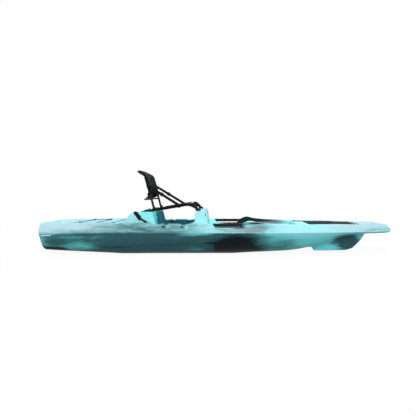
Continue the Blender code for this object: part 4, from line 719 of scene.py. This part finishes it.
# How strongly each pigment shows at each point of the skin
def writePigments(mesh):
    x, y, z = readPoints(mesh).T
    scale = halfBreadth(np.clip(x, -1.752, 1.752)) / halfBeam
    n = np.abs(y) / np.maximum(scale, 0.05)
    bottom, knuckle = line("bottom", x), line("knuckle", x)
    share = np.clip((z - bottom) / (knuckle - bottom), 0.0, 1.0) ** (1 / line("power", x))
    outside = np.abs(y) > (hull["flat"] + (halfBeam - hull["flat"]) * share) * scale - 0.025
    low = soft(knuckle - z, -0.001, 0.001) * (outside | (z < bottom + tunnelRise(x) + 0.004))
    onDeck = (1 - low) * fall(n, 0.352, 0.372)
    zones = {"low": low, "deck": onDeck, "band": (1 - low) * (1 - onDeck)}

    # Painted shade inside the cockpit: a dark, deep teal on the walls between the blocks and the pedestals, where shade
    # falls
    slant = x + 0.684 - 0.664 * (0.370 - z)
    inner = fall(n, 0.206, 0.226) * soft(slant, -0.012, 0.030) * span(z, 0.19, 0.27, 0.385, 0.405)
    front = fall(n, 0.340, 0.352) * soft(x, -0.668, -0.645) * span(z, 0.21, 0.28, 0.384, 0.396)
    between = span(n, 0.29, 0.32, 0.362, 0.375) * soft(x, -0.64, -0.54) * span(z, 0.19, 0.25, 0.288, 0.300)
    cockpitShade = np.maximum(np.maximum(inner, front) * fall(x, -0.54, -0.42), between * fall(x, -0.275, -0.205))
    writeAttribute(mesh, "cockpitShade", onDeck * cockpitShade)

    # Low: the deeper aqua of the lower side, and of the wells
    bow = 0.8 * bell(x - 0.9, 0.35) * bell(z - 0.21, 0.035)
    wells = fall(z, 0.22, 0.30) + 0.75 * span(x, -0.95, -0.85, -0.56, -0.46)
    writeAttribute(mesh, "low", np.clip(low * (1 - bow) + onDeck * wells, 0, 1))

    amounts = {name: sum(share * patchSum(parts[zone], x, z) for zone, share in zones.items())
               for name, parts in patches.items()}
    oval = np.hypot((x + 0.93) / 0.25, (z - 0.153) / 0.047) - 1  # its pale outline on the side
    amounts["teal"] -= low * 0.15 * bell(oval, 0.13)

    # The black layer: a streak along the oval; painted shade at the edge of the far shelf and in the dip under the near
    # grab rail; and the rims ahead of the paddle keepers, with less of it on the near coaming
    (aft, _), *_, (fore, _) = hull["streak"]
    streak = low * span(x, aft - 0.06, aft + 0.10, fore - 0.12, fore + 0.10) * bell(z - line("streak", x), 0.016)
    # Painted shade on the far inner wall, at the edge of the far shelf
    shelf = (y > 0) * span(n, 0.222, 0.254, 0.278, 0.308) * soft(z, 0.160, 0.190) * span(x, -0.12, -0.03, 0.15, 0.27)
    # Painted shade in the dip under the near grab rail
    railDipShade = (y < 0) * (z < 0.272) * span(n, 0.30, 0.33, 0.372, 0.388) * span(x, -0.030, -0.012, 0.186, 0.205)
    rims = (n > 0.365) * span(x, -0.730, -0.712, -0.676, -0.655) * bell(z - line("rim", x) + 0.004, 0.009)
    coaming = onDeck * (y < 0) * span(x, 0.20, 0.26, 0.38, 0.44)
    blackAndShade = amounts["blackAndShade"] + 0.55 * streak + 1.3 * onDeck * shelf
    amounts["blackAndShade"] = blackAndShade * (1 - 0.6 * coaming) + 1.6 * railDipShade + 1.5 * rims
    for name, amount in amounts.items():
        writeAttribute(mesh, name, amount)


def cutter(name, centre, radius, length, axis):
    profile = [(-length / 2, 0), (-length / 2, radius), (length / 2, radius), (length / 2, 0)]
    return turned(name, profile, centre, axis, 28)


# The slot low on each side of the stern: a band between two offsets of the side
def slotCutter(side):
    x, z = column(-1.700, -1.590, 12), np.array([[0.174, 0.196]])
    return sheetBody(f"sternSlot{side}", *(xyz(x, side * (halfBreadth(x) + away), z) for away in (0.014, -0.014)))


def makeHull():
    grid = hullSkin()
    skin = buildMesh("hullSkin", grid, quads(*grid.shape[:2], False, True), merge=2e-5)
    tools = [cutter(f"drain{k}{side}", (x, side * y, 0.2), 0.014, 0.5, "z")
             for k, (x, y) in enumerate(hull["scuppers"]) for side in (-1, 1)]
    tools += [slotCutter(-1), slotCutter(1), cutter("plugRecess", hull["plug"], 0.022, 0.016, "x"),
              cutter("plugBore", hull["plug"], 0.0113, 0.072, "x")]
    for tool in tools:
        cut = skin.modifiers.new(tool.name, "BOOLEAN")
        cut.object, cut.operation, cut.solver = tool, "DIFFERENCE", "EXACT"
    settle(skin)
    for tool in tools:
        bpy.data.objects.remove(tool, do_unlink=True)
    shadeSmooth(skin.data, 32.0)
    writePigments(skin.data)
    rideOn(skin, "kayak_hull", resinPaint, ["hull"])


makeHull()
print("hull made")


# Seat frame tubes

seat = {"railY": 0.262, "backY": 0.2345, "tube": 0.011, "bowBar": 0.008, "bowZ": 0.530, "corner": 0.030,
        "backCorner": 0.045, "frontBar": (-0.275, 0.0099), "wrap": 0.0137, "cloth": 0.003, "room": 0.0006}
railLine = np.array([(-0.190, 0.428), (-0.198, 0.440), (-0.246, 0.486), (-0.310, 0.4755), (-0.540, 0.4365),
                     (-0.628, 0.4210), (-0.735, 0.4046)])
# The upright from its foot to the head bar: x, share of backY, z
backLine = np.array([(-0.613, 1.0, 0.428), (-0.627, 1.0, 0.462), (-0.645, 1.0, 0.532), (-0.678, 1.0, 0.660),
                     (-0.709, 1.0, 0.761), (-0.770, 0.90, 0.7926), (-0.792, 0.62, 0.804), (-0.792, 0.0, 0.804)])
# Each front leg's brace, as arcs (x, z) under and over it
braceLow = np.array([(-0.330, 0.4635), (-0.262, 0.4700), (-0.216, 0.434)])
braceHigh = np.array([(-0.322, 0.4730), (-0.236, 0.4930), (-0.205, 0.444)])


def railHeight(x):
    return fair(railLine[2:][::-1], x)


def backX(z):
    return np.interp(z, backLine[:5, 2], backLine[:5, 0])


# Points on one side of the seat and their mirror images, run up one side and down the other
def hoop(points):
    return np.concatenate([points, points[::-1] * mirror])


def backRoute(side=1):
    return backLine * (1, side * seat["backY"], 1)


def bowBarPoint(share):
    depth = 1 - np.abs(share) ** 2.2
    half = seat["backY"] - seat["tube"] - seat["room"] - 0.012
    return xyz(float(backX(seat["bowZ"])) - 0.105 * depth, half * share, seat["bowZ"] - 0.006 * depth)


def seatTube(name, body, path, radius, nodes=(), **shape):
    rideOn(tube(name, path, radius, **shape), body, tubePaint, nodes)


def makeFrames():
    rail = hoop(np.insert(railLine, 1, -seat["railY"], axis=1))
    seatTube("baseTube", "seat_base", evenly(rounded(rail, seat["corner"]), 0.006), seat["tube"], ["seat_base_frame"],
             up=(0.17, 0, 0.98))
    (x, radius), y = seat["frontBar"], seat["railY"]
    z = float(railHeight(x))
    seatTube("frontBar", "seat_base", evenly([(x, -y, z), (x, y, z)], 0.02), radius)
    route = rounded(hoop(backRoute(-1)[:-1]), seat["backCorner"])
    seatTube("backTube", "seat_back", evenly(route, 0.006), seat["tube"], ["seat_back_frame"], up=(0.963, 0, 0.27))
    end, x, z = seat["backY"] - seat["tube"] - seat["room"], float(backX(seat["bowZ"])), seat["bowZ"]
    curve = np.concatenate([[(x, -end, z)], bowBarPoint(np.linspace(-1, 1, 61)), [(x, end, z)]])
    seatTube("bowBar", "seat_back", curve, seat["bowBar"], ["back_bow_bar"], sides=16, ends=0.02)


# The front legs' sleeves, and the braces in the bends above them
def makeLegs():
    t, w = column(0, 1, 16), np.linspace(0, 1, 8)[None, :, None]
    low, high = (arc(*points, t)[:, None] for points in (braceLow, braceHigh))
    x, z = np.moveaxis(low * (1 - w) + high * w, -1, 0)
    for side, word in bothSides:
        y = side * seat["railY"]
        leg = evenly([(-0.2405, y, 0.4808), (-0.2035, y, 0.4452)], 0.006)
        rideOn(tube(f"legSleeve_{word}", leg, 0.0142, ends=0.12), "seat_base", nylonPaint)
        brace = (xyz(x, y + half * (1 - 0.5 * np.abs(2 * w[..., 0] - 1) ** 5), z) for half in (0.0065, -0.0065))
        rideOn(sheetBody(f"legBrace_{word}", *brace), "seat_base", nylonPaint)


makeFrames()
makeLegs()
print("seat frames made")


# Slung cloths

cloth = {"sling": (-0.572, -0.288), "sag": 0.030, "low": 0.575, "high": 0.738, "head": 0.802, "bowTop": 0.012,
         "hem": (0.0100, 0.0115, 0.62), "flare": 4.5, "wrapFrom": (-60.0, 75.0), "open": 0.787, "calm": 0.777}


def hang(share):
    return (1 - np.clip(share**2, 0, 1)) ** 1.5


# Warp and weft lengths over a cloth's grid, for its weave
def writeWeave(piece, grid):
    for name, axis in (("warp", 1), ("weft", 0)):
        length = np.linalg.norm(np.diff(grid, axis=axis), axis=2).cumsum(axis)
        length = np.pad(length, [(int(axis == 0), 0), (int(axis == 1), 0)])
        writeAttribute(piece.data, name, np.concatenate([length, length[:, ::-1]], axis=1).ravel())


# Lengths along and angles round a tube, for webbing and braid
def writeRun(piece, path, names=("weft", "warp"), up=(0.05, 0.1, 1), turnScale=0.003):
    points, along = readPoints(piece.data), np.gradient(path, axis=0)
    nearest = np.argmin(((points[:, None, :] - path[None, :, :]) ** 2).sum(2), axis=1)
    side, rise = (direction[nearest] for direction in sideways(along, up))
    away = points - path[nearest]
    writeAttribute(piece.data, names[0], lengths(path)[nearest] + (away * unit(along)[nearest]).sum(1))
    writeAttribute(piece.data, names[1], np.arctan2((away * rise).sum(1), (away * side).sum(1)) * turnScale)


def makeHem(name, body, path, radius, up, measured=None):
    hem = tube(name, path, radius, 10, up=up)
    writeRun(hem, path if measured is None else measured)
    rideOn(hem, body, webPaint, ())


# The seat: from under each rail, round its outside, and hung to the middle, offset square to the rails
def makeSling():
    aft, fore = cloth["sling"]
    x = column(fore, aft, 44)
    along = (x - aft) / (fore - aft)
    sag = cloth["sag"] * (0.55 + 0.45 * np.sin(np.pi * np.minimum(along * 1.15, 1.0)))
    sag = sag * (1 - 0.75 * ramp(along, 0.75, 1.0))
    angle = np.radians(np.linspace(-60, 90, 14))
    share = np.linspace(1, 0, 26)[1:]
    grids = []
    for inner in (seat["wrap"] - seat["cloth"] / 2, seat["wrap"] + seat["cloth"] / 2):
        y = np.concatenate([seat["railY"] + inner * np.cos(angle), seat["railY"] * share])
        height = np.concatenate([inner * np.sin(angle), np.full(len(share), inner)])
        height = height - sag * np.concatenate([np.zeros(len(angle)), hang(share)])
        half = xyz(x, -y, railHeight(x) + height)
        grids.append(np.concatenate([half[:, :-1], half[:, ::-1] * mirror], axis=1))
    piece = sheetBody("slingCloth", grids[1], grids[0])
    writeWeave(piece, grids[1])
    rideOn(piece, "seat_base", meshPaint, ["seat_sling"])
    for name, row in (("slingHemFore", 0), ("slingHemAft", -1)):
        middle = (grids[0][row] + grids[1][row]) / 2
        makeHem(name, "seat_base", evenly(middle, 0.008), 0.0024, (1, 0, 0.2), middle)


# Centre x, half-width and square direction (x, z) of the back frame at a height
uprightLine = rounded(backRoute(), seat["backCorner"])[:-1]
uprightLine = uprightLine[uprightLine[:, 2] > 0.500]


def backPlace(z):
    x, half = (np.interp(z, uprightLine[:, 2], uprightLine[:, k]) for k in (0, 1))
    ahead, behind = np.minimum(z + 0.003, uprightLine[-1, 2]), z - 0.003
    run = np.subtract(*(np.interp(level, uprightLine[:, 2], uprightLine[:, 0]) for level in (ahead, behind)))
    length = np.hypot(run, ahead - behind)
    return x, half, (ahead - behind) / length, -run / length


# The back cloth's low edge: on the bow bar in the middle, up to the uprights at the sides
def panelHem(share):
    bar = bowBarPoint(np.minimum(np.abs(share) * seat["backY"] / bowBarPoint(np.array(1.0))[1], 1.0))
    x, _, squareX, squareZ = backPlace(np.array(cloth["low"]))
    rise = soft(np.abs(share), cloth["hem"][2], 1.0)
    hemX, hemZ = bar[..., 0] + cloth["hem"][0], bar[..., 2] + cloth["hem"][1]
    sideX, sideZ = x + seat["wrap"] * squareX, cloth["low"] + seat["wrap"] * squareZ
    return hemX + (sideX - hemX) * rise, hemZ + (sideZ - hemZ) * rise


# Middle of the back cloth at a height share v of its main part, from its hem to its upper seam
def panelPoint(v, share):
    topLift = seat["wrap"] - cloth["bowTop"] * hang(share)
    hemX, hemZ = panelHem(share)
    lowX, _, squareX, squareZ = backPlace(np.array(cloth["low"]))
    hemLift = (hemX - lowX) * squareX + (hemZ - cloth["low"]) * squareZ
    start = hemZ - hemLift * squareZ
    z = start + (cloth["high"] - start) * v
    x, half, squareX, squareZ = backPlace(z)
    lift = topLift + (hemLift - topLift) * (1 - v) ** cloth["flare"]
    return xyz(x + lift * squareX, half * share, z + lift * squareZ)


def makePanel():
    z = column(cloth["low"], cloth["high"], 44)
    z = np.concatenate([z, np.linspace(cloth["high"], cloth["head"], 22)[1:, None]])
    v = ramp(z, cloth["low"], cloth["high"])
    x, half, squareX, squareZ = backPlace(z)
    start = cloth["wrapFrom"][0] + (cloth["wrapFrom"][1] - cloth["wrapFrom"][0]) * ramp(z, cloth["high"], cloth["open"])
    angle = np.radians(start + (90 - start) * np.linspace(0, 1, 15)[None, :-1])
    share = np.linspace(1, 0, 27)[None, :]
    round_, over = (xyz(x + lift * squareX, y, z + lift * squareZ) for lift, y in (
        (seat["wrap"] * np.sin(angle), half + seat["wrap"] * np.cos(angle)),
        (seat["wrap"] - cloth["bowTop"] * (1 - ramp(z, cloth["high"], cloth["calm"])) * hang(share), half * share)))
    across = np.where((z <= cloth["high"] + 1e-9)[..., None], panelPoint(v, share), over)
    oneSide = np.concatenate([round_, across], axis=1)
    grid = np.concatenate([oneSide, oneSide[:, -2::-1] * mirror], axis=1)
    low, high = lifted(grid, -seat["cloth"] / 2, seat["cloth"] / 2)
    piece = sheetBody("backCloth", high, low)
    writeWeave(piece, high)
    rideOn(piece, "seat_back", meshPaint, ["seat_back_panel"])
    makeHem("backHem", "seat_back", evenly(grid[0], 0.006), 0.0032, (0.2, 0.1, 1))


# The lumbar pad: a crowned shell on the cloth, swelled as cloth under pressure, then its sewn channels drawn in
pad = {"v": (1 / 14, 0.5), "share": 0.7, "edge": 0.004, "crown": 0.0135, "voxel": 0.0045, "pressure": 4.0, "frames": 20,
       "cap": 0.004, "channels": 0.286}


def makePad():
    v = column(pad["v"][0], pad["v"][1], 36)
    share = np.linspace(-pad["share"], pad["share"], 90)[None, :]
    grid = panelPoint(v, share)
    behind = lifted(grid, 0.0, seat["cloth"] / 2 + 0.0008)[1]
    normal = lifted(grid, 0.0, 1.0)[1] - grid
    u, w = share / pad["share"], 2 * ramp(v, *pad["v"]) - 1
    crown = np.sqrt((1 - u**4) * (1 - w**4))
    bulge = pad["edge"] * (1 - 0.4 * np.maximum(np.abs(u), np.abs(w)) ** 14) + pad["crown"] * crown
    piece = sheetBody("lumbarPad", behind + normal * bulge[..., None], behind, sharp=180.0)
    swell(piece)
    points = readPoints(piece.data)
    nearest = np.argmin(((points[:, None, ::2] - grid[:, 45, ::2][None]) ** 2).sum(2), axis=1)
    square = normal[nearest, 45]
    height = ((points - grid[nearest, 45]) * square).sum(1)
    along, middle = np.abs(points[:, 1] / (seat["backY"] * pad["share"])), w[nearest, 0]
    seam = 0.55 * bell(along - pad["channels"], 0.022)
    seam = np.maximum(seam, 0.28 * bell(middle, 0.06) * (along < pad["channels"]))
    seam = np.maximum(seam, 0.35 * bell(np.maximum(along, np.abs(middle)) - 0.93, 0.02))
    points = points - seam[:, None] * pad["crown"] * soft(height, 0.004, 0.012)[:, None] * square
    writePoints(piece.data, points)
    writeAttribute(piece.data, "warp", points[:, 1])
    writeAttribute(piece.data, "weft", points[:, 2])
    rideOn(piece, "seat_back", padPaint, ["lumbar_pad"])


def swell(piece):
    scene = bpy.context.scene
    remesh = piece.modifiers.new("remesh", "REMESH")
    remesh.mode, remesh.voxel_size = "VOXEL", pad["voxel"]
    settle(piece)
    before = readPoints(piece.data)
    press = piece.modifiers.new("press", "CLOTH")
    press.settings.use_pressure, press.settings.uniform_pressure_force = True, pad["pressure"]
    press.settings.effector_weights.gravity = 0.0
    press.settings.quality = 5
    press.point_cache.frame_start, press.point_cache.frame_end = 1, pad["frames"]
    for place in range(1, pad["frames"] + 1):
        scene.frame_set(place)
    settle(piece)
    scene.frame_set(1)
    move = readPoints(piece.data) - before
    length = np.maximum(np.linalg.norm(move, axis=1), 1e-9)
    move *= (np.minimum(length, pad["cap"]) / length)[:, None]
    squareX, squareZ = (float(part) for part in backPlace(np.array(0.60))[2:])
    square = np.array([squareX, 0.0, squareZ])
    writePoints(piece.data, before + move - np.minimum(move @ square, 0.0)[:, None] * square)
    fine = piece.modifiers.new("fine", "SUBSURF")
    fine.levels = fine.render_levels = 1
    settle(piece)
    piece.data.shade_smooth()


makeSling()
makePanel()
makePad()
print("seat cloths and pad made")


# Straps: flat bands with a slight crown, a slotted buckle, and the loops round the tubes that they pull on

strap = {"top": np.array([-0.672, 0.657]), "foot": np.array([-0.375, 0.4735]), "width": 0.025, "thick": 0.003,
         "buckle": 0.44, "buckleLength": 0.036, "inTop": 0.2502, "inFoot": 0.2777, "loop": 0.0156, "keep": 0.15}


def bandGrids(start, end, thick, side):
    t, w = column(start, end, 40), np.linspace(-0.5, 0.5, 12)[None, :]
    reach = strap["foot"] - strap["top"]
    run = reach / np.linalg.norm(reach)
    spot = strap["top"] + reach * t[..., None] + np.array([-run[1], run[0]]) * (strap["width"] * w)[..., None]
    y = strap["inTop"] + (strap["inFoot"] - strap["inTop"]) * t
    outer = y + thick * (1 - 0.35 * np.abs(2 * w) ** 6)
    return [xyz(spot[..., 0], side * across, spot[..., 1]) for across in (outer, y)]


# A band of webbing round a tube, closed on itself
def makeLoop(name, centre, along, body):
    t = np.linspace(0, 2 * np.pi, 33)
    w = np.linspace(-0.5, 0.5, 10) * strap["width"]
    along = np.array(along, float)
    side, rise = sideways(along[None], (0, 1, 0))
    ring = np.cos(t)[:, None, None] * side[0] + np.sin(t)[:, None, None] * rise[0]
    middle = np.array(centre) + w[None, :, None] * unit(along)
    outer = strap["loop"] + 0.0022 - 0.0007 * np.abs(2 * w / strap["width"]) ** 6
    outer, inner = middle + ring * outer[None, :, None], middle + ring * strap["loop"]
    section = np.concatenate([outer, inner[:, ::-1]], axis=1)[:-1]
    piece = buildMesh(name, section, quads(*section.shape[:2], True, True), sharp=60.0)
    writeAttribute(piece.data, "weft", np.repeat(t[:-1] * strap["loop"], section.shape[1]))
    writeAttribute(piece.data, "warp", np.tile(np.concatenate([w, w[::-1]]), 32))
    rideOn(piece, body, webPaint)


def makeStrap(side, word):
    top, foot, middle = strap["top"], strap["foot"], strap["buckle"]
    half = strap["buckleLength"] / 2 / math.dist(top, foot)
    pieces = []
    for name, node, start, end, layers in (("strapUpper", "back_strap", -0.02, middle - half, 1),
                                           ("strapLower", "strap_tail", middle + half, 1.02, 2)):
        outer, inner = bandGrids(start, end, layers * strap["thick"], side)
        piece = sheetBody(f"{name}_{word}", outer, inner)
        writeWeave(piece, outer)
        pieces.append(rideOn(piece, "seat_base", webPaint, [f"{node}_{word}"]))
    buckle = easedCopy(f"strap_buckle_{word}", f"strapBuckle_{word}", 0.0015)
    pieces.append(rideOn(buckle, "seat_base", nylonPaint, [f"strap_buckle_{word}"]))
    for piece in pieces:
        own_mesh(piece)
    x, half, squareX, squareZ = (float(amount) for amount in backPlace(np.array(top[1])))
    makeLoop(f"strapTopLoop_{word}", (x, side * half, top[1]), (-squareZ, 0, squareX), "seat_back")
    place = (foot[0], side * seat["railY"], float(railHeight(foot[0])))
    makeLoop(f"strapFootLoop_{word}", place, (-0.985, 0, 0.17), "seat_base")


for side, word in bothSides:
    makeStrap(side, word)
print("straps made")


# Small moulded pieces: the CAD shapes with their edges eased, as (node, body, width of the easing, paint)

small = (("front_foot", "seat_base", 0.0025, nylonPaint), ("rear_clip", "seat_base", 0.0025, nylonPaint),
         ("hinge_bracket", "seat_base", 0.0012, nylonPaint), ("hinge_bolt", "seat_base", 0.0008, tubePaint),
         ("paddle_keeper", "kayak_hull", 0.0020, nylonPaint), ("grab_rail", "kayak_hull", 0.0012, nylonPaint))
eyeTurns = {"tankwell_eye": (0, -45, 45, 45, -45, 0), "bow_eye": (90,) * 6}


def makeSmall():
    for name, body, width, paint in small:
        for _, word in bothSides:
            node = f"{name}_{word}"
            rideOn(easedCopy(node, "eased_" + node, width), body, paint, [node])
    for group in eyeTurns:
        for k in range(1, 7):
            node = f"{group}_{k}"
            rideOn(easedCopy(node, "eased_" + node, 0.0008), "kayak_hull", nylonPaint, [node])
    rideOn(easedCopy("drain_plug", "easedPlug", 0.0006), "plug", nylonPaint, ["drain_plug"])
    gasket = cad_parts["plug_gasket"].data
    gasket.materials.clear()
    gasket.materials.append(rubberPaint.material)


def eyeFoot(node):
    low, high = (np.array(corner, float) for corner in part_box(node))
    return np.array([*(low + high)[:2] / 2, low[2]])


# Fittings that only the scene shows: along the boat x, across it y, upright z
fittings = {"screwReach": 0.0117, "screwRise": 0.0034, "screw": (0.0021, 0.0012),
            "studs": ((-0.505, 0.274), (-0.332, 0.273)), "studOval": (1.25, 1.0, 0.82), "studInnerY": 0.3345,
            "pedestalPlate": (-0.1185, 0.300, 0.380), "pedestalLean": (0.944, 0.33), "pedestalHalf": (0.0045, 0.014),
            "keeperPlate": (-0.784, -0.716), "keeperFold": 0.021, "keeperCrown": 0.0046,
            "strip": (-1.697, -1.593), "stripLow": 0.1795, "stripTall": 0.0115, "stripDepth": 0.0133}


# Two low round heads on each eye: radius (cos s cos t, cos s sin t) and height sin s
def makeScrews():
    centres, (radius, height) = [], fittings["screw"]
    for group, angles in eyeTurns.items():
        for k, turn in enumerate(angles, 1):
            across = np.array([math.cos(math.radians(turn)), math.sin(math.radians(turn))]) * fittings["screwReach"]
            centres += [eyeFoot(f"{group}_{k}") + (*(way * across), fittings["screwRise"]) for way in (-1, 1)]
    s, t = column(0, np.pi / 2, 5), turns(12)
    head = xyz(np.cos(s) * radius * np.cos(t), np.cos(s) * radius * np.sin(t), np.sin(s) * height - 0.0004)
    faces = np.concatenate([quads(5, 12, False, True) + k * 60 for k in range(len(centres))])
    screws = buildMesh("eyeScrews", np.array(centres)[:, None, None, :] + head, faces, merge=1e-6)
    rideOn(screws, "kayak_hull", steelPaint)


# Oval studs on both faces of the gunwale beside the seat
def makeStuds():
    profile = [(0.0, 0.0), (0.0, 0.010), (0.0022, 0.0098), (0.0038, 0.0082), (0.0042, 0.005), (0.0042, 0.0)]
    for x, z in fittings["studs"]:
        outside = sideY(halfBeam, hull["edge"], (z - line("knuckle", x)) / (line("rim", x) - line("knuckle", x)))
        for side, word in bothSides:
            for y, face, place in ((float(outside), 1, "outer"), (fittings["studInnerY"], -1, "inner")):
                along = [(side * face * (a - 0.0012), r) for a, r in profile]
                piece = turned(f"stud_{place}_{word}_{abs(round(x * 1000))}", along, (0, side * y, 0), "y", 24)
                writePoints(piece.data, readPoints(piece.data) * fittings["studOval"] + (x, 0.0, z))
                rideOn(piece, "kayak_hull", nylonPaint)


# Slotted plates on the front of the pedestals, square to their lean
def makePedestalPlates():
    (x, y, z), (lean, slip) = fittings["pedestalPlate"], fittings["pedestalLean"]
    t = turns(24)
    across, up = (size * np.sign(wave) * np.abs(wave) ** 0.5
                  for size, wave in zip(fittings["pedestalHalf"], (np.cos(t), np.sin(t))))
    layers = ((1.0, -0.002), (1.0, 0.0022), (0.82, 0.0034), (0.45, 0.0034), (0.40, 0.0012), (0.0, 0.0012))
    for side, word in bothSides:
        points = [xyz(x + lean * lift - slip * size * up, side * y + size * across, z + slip * lift + lean * size * up)
                  for size, lift in layers]
        plate = buildMesh(f"pedestalPlate_{word}", np.array(points), quads(6, 24, False, True))
        rideOn(plate, "kayak_hull", nylonPaint)


# A sheet on each side of the hull, from the two grids of the left one
def hullSheets(name, outer, inner, paint):
    for side, word in bothSides:
        piece = sheetBody(f"{name}_{word}", outer * (1, side, 1), inner * (1, side, 1))
        rideOn(piece, "kayak_hull", paint)


# The keepers' backing plates, folded over the rim of the fins
def makeKeeperPlates():
    (aft, fore), reach = fittings["keeperPlate"], fittings["keeperFold"]
    x = column(aft, fore, 20)
    s = np.linspace(-1, 0.75, 22) * reach * np.sqrt(np.clip(1 - 0.9 * ((x + 0.750) / 0.034) ** 4, 0.02, 1))
    n = hull["edge"] + np.minimum(s, 0)
    knuckle = line("knuckle", x)
    z = np.where(s < 0, deck(x, n), deck(x, hull["edge"]) - s)
    y = np.where(s < 0, n, sideY(halfBeam, hull["edge"], (z - knuckle) / (line("rim", x) - knuckle)))
    turn = ramp(s, -0.006, 0.006) * np.pi / 2
    crown = fittings["keeperCrown"] * (1 - 0.6 * np.abs(s / reach) ** 5)
    outer, inner = (xyz(x, y + lift * np.sin(turn), z + lift * np.cos(turn)) for lift in (crown, -0.002))
    hullSheets("keeperPlate", outer, inner, nylonPaint)


# Pale strips in the slots at the stern: a painted highlight on each slot's lower ledge
def makeSlotHighlights():
    x, w = column(*fittings["strip"], 14), np.linspace(0, 1, 7)[None, :]
    crown = 0.0015 * (1 - 0.5 * np.abs(2 * w - 1) ** 5)
    depth, z = halfBreadth(x) - fittings["stripDepth"], fittings["stripLow"] + fittings["stripTall"] * w
    hullSheets("sternSlotHighlight", xyz(x, depth + crown, z), xyz(x, depth - 0.001, z), slotHighlightPaint)


for make in (makeSmall, makeScrews, makeSlotHighlights, makeStuds, makePedestalPlates, makeKeeperPlates):
    make()
print("small pieces made")


# Cords and the bow cover

cord = {"radius": 0.0030, "keeper": 0.0024, "rise": 0.0064, "tail": 0.018, "turned": 0.009, "corner": 0.030,
        "bowCorner": 0.020, "bowEnd": (1.372, 1.402)}


def makeCord(name, path, radius, nodes):
    path = evenly(path, 0.004)
    piece = tube(name, path, radius, 14, up=(0.05, 0.1, 1))
    writeRun(piece, path, ("run", "turn"), turnScale=1.0)
    rideOn(piece, "kayak_hull", cordPaint, nodes)


def makeCords():
    rise = np.array([0, 0, cord["rise"]])
    route = []
    for k, turn in enumerate(eyeTurns["tankwell_eye"], 1):
        centre = eyeFoot(f"tankwell_eye_{k}") + rise
        heading = np.array([-math.sin(math.radians(turn)), math.cos(math.radians(turn)), 0.0])
        reach = (-1 if turn > 0 else 1) * (cord["turned"] if turn else cord["tail"])
        route += [centre - heading * reach, centre + heading * reach]
    makeCord("tankwellCord", rounded(route, cord["corner"]), cord["radius"], ["tankwell_bungee"])

    halves = []
    eyeX, endX = cord["bowEnd"]
    for first in (1, 2):
        run = [eyeFoot(f"bow_eye_{k}") + rise for k in (first, first + 2, first + 4)]
        corner = run[-1] * np.array([0, halfBreadth(endX) / halfBreadth(eyeX), 1]) + np.array([endX, 0, 0])
        corner[2] += line("rim", endX) - line("rim", eyeX)
        halves.append([run[0] + unit(run[0] - run[1]) * cord["tail"], *run, corner])
    route = rounded(halves[0] + halves[1][::-1], cord["bowCorner"])
    makeCord("bowCord", route, cord["radius"], ["bow_cover_cord"])

    x = np.linspace(-0.714, -0.655, 12)
    z = line("rim", x) + 1.3 * cord["keeper"] + 0.0003
    for side, word in bothSides:
        makeCord(f"keeperCord_{word}", xyz(x, side * 0.377, z), cord["keeper"], [f"keeper_cord_{word}"])


# The cover: held along its edge by the elastic, and sagging a little over the well
def makeCover():
    x, n = column(0.913, 1.385, 60), np.linspace(-0.299, 0.299, 61)[None, :]
    level = deck(x, 0.299) + 0.0006 - 0.006 * well(x, np.abs(n), 0.935, 1.363, 0.120, 0.282, 0.100)
    low = xyz(x, n * halfBreadth(x) / halfBeam, level)
    high = low + np.array([0, 0, seat["cloth"]])
    piece = sheetBody("bowCover", high, low)
    writeWeave(piece, high)
    edge = np.concatenate([high[0], high[1:, -1], high[-1, -2::-1], high[-2::-1, 0]]) - np.array([0, 0, 0.0012])
    edge = evenly(edge, 0.010)
    hem = tube("coverHem", edge, 0.0036, 10, up=(0.02, 0.01, 1), ends=0.1, flat=0.55)
    writeRun(hem, edge, up=(0.02, 0.01, 1))
    rideOn(hem, "kayak_hull", webPaint)
    rideOn(piece, "kayak_hull", coverPaint, ["bow_mesh_cover"])


makeCords()
makeCover()
print("cords and cover made")
